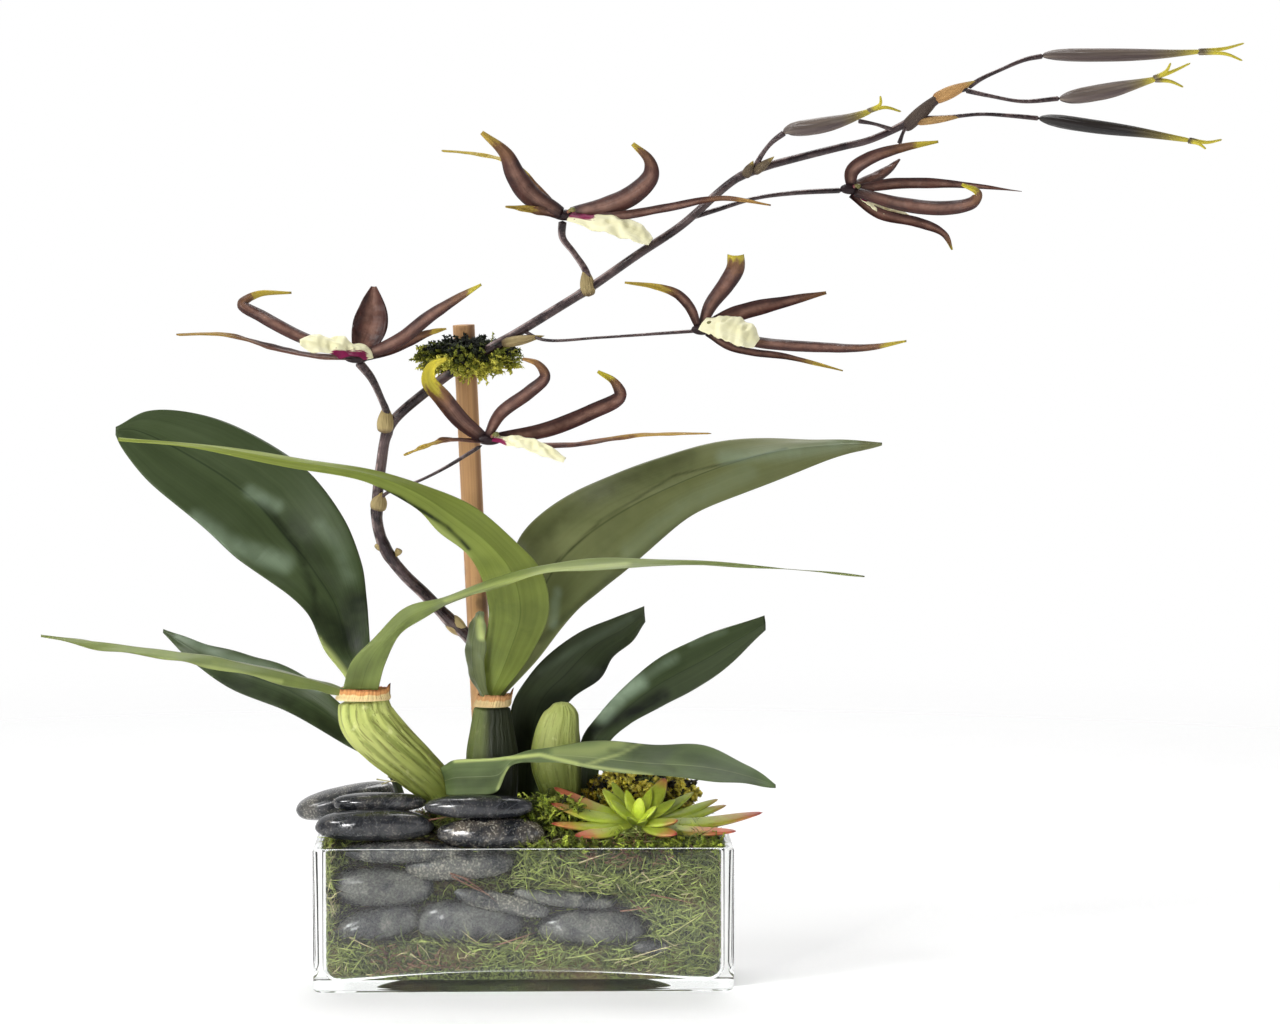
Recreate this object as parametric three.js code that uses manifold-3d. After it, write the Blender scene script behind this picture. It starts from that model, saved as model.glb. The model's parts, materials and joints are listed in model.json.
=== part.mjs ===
// Brassia spider orchid in a rectangular glass vase of moss and river pebbles.
// Millimetres, +Z up. The origin is the centre of the vase's underside, +X runs along
// the vase to the right and the front of the arrangement faces -Y.

import * as THREE from 'three';
import { mergeVertices } from 'three/addons/utils/BufferGeometryUtils.js';
import Module from 'manifold-3d';

const wasm = await Module();
wasm.setup();

// ---------------------------------------------------------------- driving dimensions

const VASE_LENGTH = 305; // 12 in
const VASE_DEPTH = 102; // 4 in
const VASE_HEIGHT = 104.5;
const VASE_CORNER = 10; // radius of the upright corners
const WALL = 7;
const BASE_THICKNESS = 15;
const FLOOR_ROUNDING = 7; // where the inner walls meet the thick glass base

const GAP = 0.35; // clearance kept between pieces that touch

const LEAF_THICKNESS = 1.2;
const TEPAL_THICKNESS = 1;
const LIP_THICKNESS = 1.2;

const STEM_RADIUS_FOOT = 5.2;
const STEM_RADIUS_TIP = 2.3;
const STAKE_RADIUS = 8;

const MOSS_FRONT_LEVEL = 105; // level of the moss just inside the front wall
const MOSS_BACK_RISE = 15; // how much higher it is heaped at the back
const MOSS_RELIEF = 1.6;
const POCKET_DEPTH = 14; // the stones at the front lie this far into the moss

// ---------------------------------------------------------------- small tools

const vector = ([x, y, z]) => new THREE.Vector3(x, y, z);
const curveThrough = (points) => new THREE.CatmullRomCurve3(points.map(vector), false, 'centripetal');
const range = (count) => Array.from({ length: count }, (_, index) => index);

// Repeatable random numbers from 0 to 1.
function randomSource(seed) {
  let state = seed;
  return () => {
    state = (state + 0x6d2b79f5) | 0;
    let mixed = Math.imul(state ^ (state >>> 15), 1 | state);
    mixed = (mixed + Math.imul(mixed ^ (mixed >>> 7), 61 | mixed)) ^ mixed;
    return ((mixed ^ (mixed >>> 14)) >>> 0) / 4294967296;
  };
}

// A closed body through rings of equally many points. Each ring runs so that the
// direction of travel crossed with the step to the next point faces outwards.
function loft(rings) {
  const size = rings[0].length;
  const positions = rings.flat().flatMap((point) => point.toArray());
  const faces = [];
  for (let ring = 0; ring + 1 < rings.length; ring += 1) {
    for (let side = 0; side < size; side += 1) {
      const a = ring * size + side;
      const b = ring * size + ((side + 1) % size);
      faces.push(a, a + size, b + size, a, b + size, b);
    }
  }
  const last = (rings.length - 1) * size;
  for (let step = 0; step + 1 < size / 2; step += 1) {
    const [a, b, c, d] = [step, step + 1, size - 2 - step, size - 1 - step];
    faces.push(a, b, d, last + d, last + b, last + a);
    if (b !== c) faces.push(b, c, d, last + d, last + c, last + b);
  }
  const geometry = new THREE.BufferGeometry();
  geometry.setAttribute('position', new THREE.Float32BufferAttribute(positions, 3));
  geometry.setIndex(faces);
  return geometry;
}

// A thin blade between two edge curves. A positive fold puts the midrib on the blade's
// own upper side, a negative one below it, and without a fold the blade is flat across.
function blade({ left, right, fold = 0, thickness = LEAF_THICKNESS, steps = 12 }, grow = 0) {
  const leftCurve = curveThrough(left);
  const rightCurve = curveThrough(right);
  const middle = (s) => leftCurve.getPoint(s).add(rightCurve.getPoint(s)).multiplyScalar(0.5);
  const half = thickness / 2 + grow;
  const rings = range(steps + 1).map((index) => {
    const s = index / steps;
    const along = middle(Math.min(1, s + 0.01)).sub(middle(Math.max(0, s - 0.01))).normalize();
    const across = rightCurve.getPoint(s).sub(leftCurve.getPoint(s));
    const width = across.length();
    const normal = along.clone().cross(across).normalize();
    const side = normal.clone().cross(along);
    const end = index === 0 ? -grow : index === steps ? grow : 0;
    const place = (point, offset, shift) =>
      point.clone().addScaledVector(normal, offset).addScaledVector(side, shift).addScaledVector(along, end);
    const a = leftCurve.getPoint(s);
    const b = rightCurve.getPoint(s);
    const m = a.clone().add(b).multiplyScalar(0.5).addScaledVector(normal, fold * width);
    const upper = [place(a, half, -grow), place(m, half, 0), place(b, half, grow)];
    const lower = [place(b, -half, grow), place(m, -half, 0), place(a, -half, -grow)];
    const ring = [...upper, ...lower];
    return fold === 0 ? ring.filter((_, corner) => corner % 3 !== 1) : ring;
  });
  return loft(rings);
}

// A blade along one centre line. width(s) is its half width and face the way that its
// upper side looks.
function ribbon({ spine, width, face, fold = 0, thickness, steps }, grow = 0) {
  const curve = curveThrough(spine);
  const facing = vector(face);
  const count = steps * 2;
  const edge = (sign) => range(count + 1).map((index) => {
    const s = index / count;
    const side = facing.clone().cross(curve.getTangent(s)).normalize();
    return curve.getPoint(s).addScaledVector(side, sign * width(s)).toArray();
  });
  return blade({ left: edge(-1), right: edge(1), fold, thickness, steps }, grow);
}

// A body swept along a curve. section(s, angle) gives its half size across the curve
// and along the direction named by up.
function sweep({ points, section, sides = 8, steps = 12, up = [0, 1, 0] }, grow = 0) {
  const curve = curveThrough(points);
  const rings = range(steps + 1).map((index) => {
    const s = index / steps;
    const along = curve.getTangent(s);
    const v = vector(up).addScaledVector(along, -along.dot(vector(up))).normalize();
    const u = along.clone().cross(v);
    const end = index === 0 ? -grow : index === steps ? grow : 0;
    const centre = curve.getPoint(s).addScaledVector(along, end);
    return range(sides).map((side) => {
      const angle = (side / sides) * 2 * Math.PI;
      const [across, deep] = section(s, angle);
      return centre.clone()
        .addScaledVector(u, (across + grow) * Math.cos(angle))
        .addScaledVector(v, (deep + grow) * Math.sin(angle));
    });
  });
  return loft(rings);
}

const roundTube = (points, radius, options = {}) => ({
  points,
  section: (s) => {
    const size = typeof radius === 'function' ? radius(s) : radius;
    return [size, size];
  },
  ...options,
});

// An egg-shaped body: centre, half sizes and tilt about the Y axis in degrees.
function ellipsoid({ centre, half, tilt = 0, across = 12, down = 7 }, grow = 0) {
  const geometry = new THREE.SphereGeometry(1, across, down);
  geometry.rotateX(Math.PI / 2);
  geometry.scale(...half.map((size) => size + grow));
  geometry.rotateY(THREE.MathUtils.degToRad(-tilt));
  geometry.translate(...centre);
  return geometry;
}

// ---------------------------------------------------------------- joining and cutting

function solid(geometry) {
  const bare = geometry.index ? geometry.clone() : mergeVertices(geometry);
  bare.deleteAttribute('normal');
  bare.deleteAttribute('uv');
  const merged = mergeVertices(bare, 1e-4);
  return new wasm.Manifold(new wasm.Mesh({
    numProp: 3,
    vertProperties: new Float32Array(merged.attributes.position.array),
    triVerts: new Uint32Array(merged.index.array),
  }));
}

function geometryOf(body) {
  const mesh = body.getMesh();
  const geometry = new THREE.BufferGeometry();
  geometry.setAttribute('position', new THREE.Float32BufferAttribute(mesh.vertProperties, 3));
  geometry.setIndex(Array.from(mesh.triVerts));
  return geometry;
}

const joined = (bodies) => bodies.reduce((sum, body) => sum.add(body));
const cutBy = (body, tools) => tools.reduce((rest, tool) => rest.subtract(tool), body);
const mainBody = (body) => body.decompose().sort((a, b) => b.volume() - a.volume())[0];

const arrangement = new THREE.Group();

function addPiece(name, body, { colour, roughness = 0.6, metalness = 0, ...rest }) {
  const material = new THREE.MeshStandardMaterial({ color: colour, roughness, metalness, ...rest });
  const mesh = new THREE.Mesh(geometryOf(mainBody(body)), material);
  mesh.name = name;
  arrangement.add(mesh);
}

// ---------------------------------------------------------------- vase

function roundedRing(halfLength, halfDepth, radius, z) {
  const corners = [[1, 1], [-1, 1], [-1, -1], [1, -1]];
  const arc = 4;
  const points = corners.flatMap(([sx, sy], quarter) => range(arc + 1).map((index) => {
    const angle = (quarter + index / arc) * (Math.PI / 2);
    const x = sx * (halfLength - radius) + radius * Math.cos(angle);
    const y = sy * (halfDepth - radius) + radius * Math.sin(angle);
    return new THREE.Vector3(x, y, z);
  }));
  return points.reverse();
}

// The space inside the glass, drawn in from the walls by inset.
function cavity(top, inset = 0) {
  const length = VASE_LENGTH / 2 - WALL - inset;
  const depth = VASE_DEPTH / 2 - WALL - inset;
  const floor = BASE_THICKNESS + inset;
  const rings = range(4).map((index) => {
    const angle = (index / 3) * (Math.PI / 2);
    const drawnIn = FLOOR_ROUNDING * (1 - Math.sin(angle));
    const z = floor + FLOOR_ROUNDING * (1 - Math.cos(angle));
    return roundedRing(length - drawnIn, depth - drawnIn, VASE_CORNER - WALL + 2, z);
  });
  rings.push(roundedRing(length, depth, VASE_CORNER - WALL + 2, top));
  return solid(loft(rings));
}

function makeVase() {
  const outer = solid(loft([0, VASE_HEIGHT].map((z) =>
    roundedRing(VASE_LENGTH / 2, VASE_DEPTH / 2, VASE_CORNER, z))));
  return outer.subtract(cavity(VASE_HEIGHT + 10));
}

// ---------------------------------------------------------------- stones

// Polished river pebbles: centre, half length, half depth, half height and tilt in
// degrees. Stones come in the order in which they were laid.
const PEBBLES = [
  { centre: [-107, -31, 46], half: [32, 12, 12], tilt: 14 },
  { centre: [49, -30, 44], half: [39, 13, 12.5], tilt: 0 },
  { centre: [-16, -37.5, 63], half: [35, 6, 7], tilt: -12 },
  { centre: [-39, -28, 48], half: [39, 14, 15], tilt: -3 },
  { centre: [92, -38, 31], half: [13, 5, 4.5], tilt: 0 },
  { centre: [31, -33, 66], half: [37, 10, 6.5], tilt: -6 },
  { centre: [-104, -30, 73], half: [38, 13, 13], tilt: 0 },
  { centre: [-46, -32, 88], half: [40, 11, 9.3], tilt: 3 },
  { centre: [-88, -26, 99], half: [44, 17, 8.6], tilt: 0 },
  { centre: [-24, -29, 113], half: [39.5, 14, 10.8], tilt: 0 },
  { centre: [-109, -26, 119], half: [42, 17, 11.4], tilt: 0 },
  { centre: [-32, -26, 132], half: [39, 12.5, 8.4], tilt: 0 },
  { centre: [-131, 27, 129.5], half: [37, 18, 11], tilt: 12 },
  { centre: [-105, -9, 133.2], half: [33.5, 12, 7], tilt: 0 },
];

const pebbleShape = (stone, grow = 0) => solid(ellipsoid({ ...stone, across: 12, down: 6 }, grow));

// Each stone is worn flat where it bears on one laid before it.
function makePebbles() {
  return PEBBLES.map((stone, index) =>
    cutBy(pebbleShape(stone), PEBBLES.slice(0, index).map((earlier) => pebbleShape(earlier, GAP))));
}

// ---------------------------------------------------------------- pseudobulbs

// Ribbed, flattened storage stems. The half width changes along the list of widths.
const BULBS = {
  pseudobulb_left: {
    points: [[-56, 7, 92], [-57, 6, 121], [-63, 5, 140], [-80, 1, 158], [-101, -5, 178], [-114, -7, 194], [-117, -8, 210]],
    widths: [7, 11, 14, 16.5, 19, 20, 17.5],
    flatness: 0.72,
  },
  pseudobulb_centre: {
    points: [[-23, -1, 92], [-23, -1, 118], [-23, -2, 142], [-23, -2, 166], [-23, -2, 186], [-23, -2, 204]],
    widths: [9, 14, 18, 18.5, 15.5, 12.5],
    flatness: 0.54,
  },
  pseudobulb_right: {
    points: [[30, 8, 92], [30, 8, 118], [27, 8, 140], [24, 7, 162], [25, 6, 182], [28, 5, 197], [28, 5, 205]],
    widths: [5, 9, 15, 18.5, 16, 12, 5],
    flatness: 0.66,
  },
};
const BULB_RIBS = 6;
const BULB_RIB_HEIGHT = 0.045;

function bulbShape({ points, widths, flatness }, grow = 0) {
  const profile = curveThrough(widths.map((width, index) => [width, index, 0]));
  const section = (s, angle) => {
    const size = profile.getPoint(s).x * (1 + BULB_RIB_HEIGHT * Math.cos(BULB_RIBS * angle));
    return [size, size * flatness];
  };
  return solid(sweep({ points, section, sides: 12, steps: 8 }, grow));
}

// ---------------------------------------------------------------- leaves

// Each leaf is given by its two edges from base to tip, in step with each other.
const LEAVES = {
  leaf_left_broad: {
    left: [[-125, 3, 215], [-133, 5, 227], [-145, 8, 242], [-159, 16, 270], [-186, 24, 292], [-212, 32, 310],
      [-239, 42, 333], [-278, 56, 365], [-299, 66, 390], [-303, 70, 398]],
    right: [[-115, 3, 215], [-111, 6, 230], [-112, 10, 243], [-115, 24, 278], [-119, 34, 305], [-133, 46, 337],
      [-166, 62, 377], [-230, 78, 410], [-280, 78, 415], [-303, 72, 404]],
    fold: 0.08,
    steps: 18,
  },
  leaf_left_thin: {
    left: [[-133, -13, 212], [-159, -30, 219], [-209, -58, 234], [-249, -78, 245], [-292, -92, 253], [-340, -99, 264]],
    right: [[-131, -6, 217], [-160, -12, 226], [-211, -34, 240], [-251, -54, 247], [-294, -76, 256], [-340, -98, 266]],
    fold: -0.16,
  },
  leaf_left_low: {
    left: [[-86, 15, 100], [-102, 15, 152], [-133, 18, 173], [-177, 26, 197], [-215, 36, 211], [-247, 52, 231],
      [-269, 70, 250]],
    right: [[-79, 22, 100], [-100, 24, 165], [-138, 28, 204], [-170, 36, 226], [-204, 46, 236], [-239, 58, 244],
      [-269, 72, 253]],
    fold: 0.06,
  },
  leaf_right_broad: {
    left: [[-24, 5, 209], [-15, 12, 250], [-12, 26, 289], [-2, 40, 324], [38, 60, 356], [98, 80, 378],
      [161, 96, 393], [224, 108, 392], [272, 116, 389]],
    right: [[-15, 4, 209], [9, 7, 234], [33, 14, 264], [57, 24, 285], [87, 38, 308], [127, 58, 338],
      [193, 82, 364], [247, 104, 381], [272, 115, 387]],
    fold: -0.08,
    steps: 18,
  },
  leaf_arching: {
    left: [[-31, -2, 209], [-29, -16, 245], [-25, -24, 274], [-30, -32, 299], [-41, -38, 318], [-61, -46, 334],
      [-78, -52, 352], [-110, -58, 370], [-165, -66, 381], [-229, -72, 395], [-287, -74, 401]],
    right: [[-18, -1, 209], [6, -8, 242], [19, -14, 273], [13, -20, 304], [-6, -26, 326], [-37, -34, 352],
      [-74, -42, 369], [-110, -50, 379], [-165, -58, 389], [-230, -66, 398], [-287, -72, 404]],
    fold: -0.1,
    steps: 22,
  },
  leaf_crossing: {
    left: [[-132, -9, 215], [-126, -11, 235], [-112, -14, 251], [-88, -19, 275], [-60, -27, 285], [-27, -38, 297],
      [12, -46, 310], [55, -54, 315], [112, -68, 316], [175, -84, 313], [242, -98, 307]],
    right: [[-106, -13, 215], [-100, -20, 236], [-92, -28, 254], [-76, -35, 268], [-54, -46, 282], [-27, -57, 292],
      [12, -66, 304], [55, -74, 309], [112, -84, 312], [174, -94, 311], [241, -101, 305]],
    fold: 0.1,
    steps: 20,
  },
  leaf_right_short: {
    left: [[-10, 18, 100], [-10, 19, 160], [-8, 21, 201], [9, 26, 228], [40, 38, 252], [68, 46, 263], [90, 52, 271]],
    right: [[12, 24, 100], [18, 28, 167], [34, 33, 202], [57, 38, 218], [66, 42, 233], [81, 48, 245], [91, 52, 259]],
    fold: 0.07,
  },
  leaf_right_upper: {
    left: [[37, 26, 100], [42, 26, 172], [56, 30, 193], [94, 38, 229], [131, 46, 248], [180, 60, 263]],
    right: [[50, 28, 100], [61, 29, 168], [79, 32, 185], [104, 38, 198], [142, 48, 218], [181, 59, 252]],
    fold: -0.08,
  },
  leaf_right_low: {
    left: [[-61, -6, 158], [-51, -14, 165], [-19, -18, 167], [13, -15, 173], [44, -8, 176], [93, -4, 175],
      [133, -14, 174], [161, -34, 164], [182, -52, 151]],
    right: [[-57, -6, 138], [-49, -16, 139], [-18, -22, 145], [13, -27, 162], [44, -38, 162], [91, -52, 159],
      [131, -58, 155], [160, -58, 152], [182, -54, 149]],
    fold: 0.08,
    steps: 16,
  },
  leaf_sheath: {
    left: [[-31, -8, 210], [-40, -14, 229], [-42, -15, 249], [-37, -16, 268], [-32, -17, 274]],
    right: [[-25, -9, 210], [-28, -22, 230], [-27, -25, 250], [-27, -25, 264], [-29, -21, 274]],
    fold: -0.2,
    steps: 8,
  },
};

const leafShape = (name, grow = 0) => solid(blade(LEAVES[name], grow));

// ---------------------------------------------------------------- dried collars

// A papery, torn scale round the top of a pseudobulb, which holds the leaf bases.
const COLLARS = {
  collar_left: { foot: [-117, -8, 210.4], head: [-116, -8, 222], half: [20, 15] },
  collar_centre: { foot: [-23, -2, 204.4], head: [-22, -2, 216], half: [13.5, 12] },
};
const COLLAR_TEETH = [0, 2.4, 0.6, 3, 1.2, 2, 0, 2.8, 1, 3.2, 0.4, 1.8];

function collarShape({ foot, head, half }, grow = 0) {
  const ring = (centre, scale, teeth) => COLLAR_TEETH.map((tooth, index) => {
    const angle = (-index / COLLAR_TEETH.length) * 2 * Math.PI;
    const x = (half[0] * scale + grow) * Math.cos(angle);
    const y = (half[1] * scale + grow) * Math.sin(angle);
    return vector(centre).add(new THREE.Vector3(x, y, tooth * teeth));
  });
  const low = [foot[0], foot[1], foot[2] - grow];
  const middle = foot.map((value, axis) => (value + head[axis]) / 2);
  return solid(loft([ring(low, 0.93, 0), ring(middle, 1, 0.3), ring(head, 0.94, 0.6)]));
}

// ---------------------------------------------------------------- flower stem

const STEM_ROUTE = [
  [-25, 13, 104], [-24, 13.5, 160], [-26, 13.5, 205], [-30, 12, 235], [-40, 11, 252], [-53, 10, 264],
  [-71, 9, 283], [-88, 6, 300], [-100, 3, 317], [-106, 0, 336], [-106, -3, 355], [-103, -6, 380],
  [-99, -8, 402], [-93, -9, 413], [-69, -10, 434], [-42, -11, 454], [-12, -12, 471], [24, -14, 493],
  [48, -16, 508], [84, -19, 533], [114, -22, 553], [154, -26, 587], [173, -28, 595], [198, -31, 602],
  [230, -34, 610], [250, -36, 615], [281, -40, 630], [303, -43, 647], [319, -45, 652],
];

// Flower and bud stalks, from inside the main stem to their tips.
const PEDICELS = {
  bloom_1: { radius: 3, points: [[-100, -8, 405], [-99, -14, 419], [-102, -20, 428], [-109, -30, 444], [-118, -39, 456]] },
  bloom_2: { radius: 2.7, points: [[48, -16, 508], [46, -18, 520], [37, -17, 534], [29, -17, 545], [29, -18, 557]] },
  bloom_3: { radius: 1.2, points: [[1, -13, 477], [16, -24, 471], [56, -32, 473], [98, -38, 476], [125, -42, 478]] },
  bloom_4: { radius: 1.8, points: [[121, -22, 559], [141, -18, 565], [168, -10, 573], [197, -2, 577], [234, 4, 579]] },
  bloom_5: { radius: 1.3, points: [[-105, -3, 354], [-98, -9, 360], [-75, -18, 369], [-56, -28, 379], [-29, -39, 396]] },
  bud_1: { radius: 1.7, points: [[319, -45, 652], [328, -46, 658], [343, -46, 665], [360, -46, 672], [373, -46, 674.6]] },
  bud_2: { radius: 1.6, points: [[317, -45, 650], [334, -50, 646], [357, -54, 642], [384, -58, 644]] },
  bud_3: { radius: 1.6, points: [[281, -40, 630], [305, -43, 631], [328, -46, 633], [349, -46, 632], [371, -46, 630]] },
  bud_4: { radius: 2, points: [[166, -27, 592], [172, -34, 604], [179, -38, 613], [188, -42, 620]] },
};
const SPENT_STALKS = [
  [[277, -39, 627], [273, -42, 620], [270, -44, 612]],
  [[266, -38, 622], [252, -47, 626], [240, -52, 628]],
];

// Papery bracts at the nodes: the two ends of each and its radius.
const BRACTS = [
  { ends: [[-53, 10, 264], [-40, 11, 252]], radius: 6.6 },
  { ends: [[-107, 2, 318], [-103, 0, 322]], radius: 3.2 },
  { ends: [[-90, 3, 318], [-93, 2, 312]], radius: 3 },
  { ends: [[-106, -3, 348], [-103, -6, 360]], radius: 7 },
  { ends: [[-100, -12, 405], [-99, -14, 424]], radius: 6.4 },
  { ends: [[-16, -14, 469], [10, -19, 473]], radius: 4.6 },
  { ends: [[47, -17, 504], [46, -18, 524]], radius: 6.2 },
  { ends: [[158, -27, 589], [173, -33, 605]], radius: 5.4 },
  { ends: [[294, -42, 641], [326, -46, 654]], radius: 4.6 },
  { ends: [[286, -41, 630], [318, -45, 632]], radius: 3 },
];

const stemRadius = (s) => THREE.MathUtils.lerp(STEM_RADIUS_FOOT, STEM_RADIUS_TIP, Math.pow(s, 0.9));

function bractShape({ ends, radius }, grow) {
  const middle = ends[0].map((value, axis) => (value + ends[1][axis]) / 2);
  const size = (s) => radius * (0.5 + 0.5 * Math.sin(Math.PI * Math.min(1, 0.15 + s * 0.8)));
  return solid(sweep(roundTube([ends[0], middle, ends[1]], size, { sides: 5, steps: 2 }), grow));
}

function stalkShape(name, grow) {
  const { points, radius } = PEDICELS[name];
  return solid(sweep(roundTube(points, radius, { sides: 5, steps: 5 }), grow));
}

function makeFlowerStem(grow = 0) {
  const main = solid(sweep(roundTube(STEM_ROUTE, stemRadius, { sides: 6, steps: 40 }), grow));
  const pedicels = Object.keys(PEDICELS).map((name) => stalkShape(name, grow));
  const spent = SPENT_STALKS.map((points) => solid(sweep(roundTube(points, 1.5, { sides: 4, steps: 3 }), grow)));
  const bracts = BRACTS.map((bract) => bractShape(bract, grow));
  return joined([main, ...pedicels, ...spent, ...bracts]);
}

// ---------------------------------------------------------------- blooms

// A tepal is slim at its foot, widest before the middle and drawn out to a point.
const bulge = (s) => Math.sin(Math.PI * s);
const tepalWidth = (half) => (s) => half * (0.3 - 0.14 * s + 0.72 * bulge(Math.pow(0.06 + 0.92 * s, 0.72)));
const broadWidth = (half) => (s) => half * (0.3 - 0.2 * s + 0.8 * bulge(0.04 + 0.94 * s));
const lipWidth = (half) => (s) => half * (0.4 - 0.25 * s + 0.7 * bulge(0.06 + 0.9 * s));

const FRONT = [0, -1, 0.25];
const UP = [0, -0.35, 1];

// Every bloom has a small body, where the column stands, five tepals and a lip.
const BLOOMS = {
  bloom_1: {
    body: { centre: [-119, -42, 459], half: [9, 7, 5] },
    tepals: [
      { spine: [[-122, -43, 459], [-152, -54, 462], [-181, -64, 469], [-210, -74, 477], [-244, -86, 477]],
        half: 4.6, face: UP },
      { spine: [[-122, -41, 460], [-160, -36, 474], [-187, -28, 488], [-202, -22, 497], [-191, -16, 504],
        [-167, -12, 505]], half: 4.8, face: FRONT },
      { spine: [[-117, -42, 461], [-109, -37, 484], [-107, -28, 510]], half: 12.5, face: FRONT, broad: true },
      { spine: [[-115, -44, 460], [-88, -52, 472], [-66, -62, 489], [-46, -70, 502], [-29, -76, 512]],
        half: 5.2, face: FRONT },
      { spine: [[-115, -40, 458], [-90, -30, 466], [-68, -20, 476], [-55, -14, 479]], half: 3.6, face: FRONT },
    ],
    lip: { spine: [[-119, -46, 462], [-131, -62, 469], [-156, -74, 472]], half: 10 },
  },
  bloom_2: {
    body: { centre: [31, -18, 561], half: [9, 7, 5] },
    tepals: [
      { spine: [[28, -14, 562], [10, 0, 582], [-8, 10, 599], [-34, 16, 606], [-59, 20, 608]], half: 3.2, face: UP },
      { spine: [[28, -20, 562], [6, -26, 575], [-5, -32, 590], [-12, -36, 605], [-29, -40, 620]],
        half: 8.2, face: FRONT },
      { spine: [[28, -21, 561], [6, -34, 565], [-12, -46, 567]], half: 2.8, face: FRONT },
      { spine: [[35, -18, 562], [60, -26, 567], [80, -32, 576], [92, -36, 589], [91, -38, 600], [79, -40, 612]],
        half: 7.4, face: FRONT },
      { spine: [[36, -20, 560], [73, -36, 561], [107, -46, 567], [143, -54, 573], [177, -62, 568]],
        half: 3.6, face: FRONT },
    ],
    lip: { spine: [[36, -22, 559], [60, -36, 554], [79, -44, 549], [91, -46, 541]], half: 8.5 },
  },
  bloom_3: {
    body: { centre: [129, -42, 479], half: [8, 7, 5] },
    tepals: [
      { spine: [[126, -43, 481], [120, -46, 495], [110, -50, 505], [95, -54, 510], [73, -60, 513]],
        half: 3.8, face: FRONT },
      { spine: [[129, -41, 482], [136, -38, 498], [149, -36, 514], [153, -38, 524], [152, -42, 533]],
        half: 6.2, face: FRONT },
      { spine: [[132, -41, 481], [157, -34, 491], [187, -26, 498], [220, -18, 505]], half: 6, face: FRONT },
      { spine: [[133, -44, 478], [170, -56, 470], [212, -68, 467], [245, -78, 467], [272, -88, 472]],
        half: 4, face: FRONT },
      { spine: [[132, -41, 476], [153, -30, 465], [194, -16, 458], [233, -8, 448]], half: 3, face: FRONT },
    ],
    lip: { spine: [[131, -47, 480], [144, -60, 481], [162, -66, 474]], half: 10 },
  },
  bloom_4: {
    body: { centre: [239, 4, 580], half: [8, 6.5, 5] },
    tepals: [
      { spine: [[239, 4, 582], [240, 2, 593], [254, -4, 603], [277, -10, 610], [301, -14, 614]],
        half: 5.2, face: FRONT },
      { spine: [[240, 7, 582], [257, 16, 588], [269, 24, 595], [277, 30, 602]], half: 4.2, face: FRONT },
      { spine: [[242, 4, 580], [274, -6, 584], [316, -18, 583], [360, -30, 578]], half: 4.6, face: FRONT },
      { spine: [[242, 1, 578], [274, -12, 569], [305, -24, 566], [324, -34, 570], [327, -40, 577],
        [315, -44, 583]], half: 5.2, face: FRONT },
      { spine: [[239, 4, 576], [260, 0, 562], [290, -6, 555], [306, -12, 547], [311, -18, 536]],
        half: 4.4, face: FRONT },
    ],
    lip: { spine: [[243, -1, 580], [261, -18, 577], [277, -30, 572]], half: 5 },
  },
  bloom_5: {
    body: { centre: [-24, -41, 400], half: [9, 7, 5] },
    tepals: [
      { spine: [[-28, -43, 401], [-44, -48, 414], [-57, -52, 430], [-67, -56, 443], [-65, -58, 453],
        [-54, -60, 459]], half: 5.8, face: FRONT },
      { spine: [[-25, -44, 403], [-16, -52, 419], [5, -58, 435], [16, -62, 446], [11, -64, 455], [0, -66, 459]],
        half: 4.8, face: FRONT },
      { spine: [[-20, -41, 401], [17, -40, 407], [50, -38, 420], [70, -38, 431], [66, -40, 441],
        [54, -44, 449]], half: 5.6, face: FRONT },
      { spine: [[-20, -44, 399], [27, -56, 396], [84, -68, 404], [134, -80, 406]], half: 4, face: UP },
      { spine: [[-28, -43, 399], [-54, -50, 401], [-71, -56, 396], [-85, -60, 390]], half: 3.2, face: UP },
    ],
    lip: { spine: [[-21, -46, 400], [4, -62, 398], [29, -72, 386]], half: 5 },
  },
};

function tepalShape({ spine, half, face, broad = false }) {
  const width = broad ? broadWidth(half) : tepalWidth(half);
  return solid(ribbon({ spine, width, face, thickness: TEPAL_THICKNESS, steps: spine.length + 2 }));
}

function lipShape({ spine, half }, grow = 0) {
  const width = lipWidth(half);
  const face = [0, -0.8, 0.7];
  return solid(ribbon({ spine, width, face, fold: 0.1, thickness: LIP_THICKNESS, steps: 5 }, grow));
}

function bloomShape(name) {
  const { body, tepals, lip } = BLOOMS[name];
  const heart = solid(ellipsoid({ ...body, across: 8, down: 5 }));
  const flower = joined([heart, ...tepals.map(tepalShape)]);
  return cutBy(flower, [lipShape(lip, GAP), stalkShape(name, GAP)]);
}

// ---------------------------------------------------------------- buds

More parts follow.
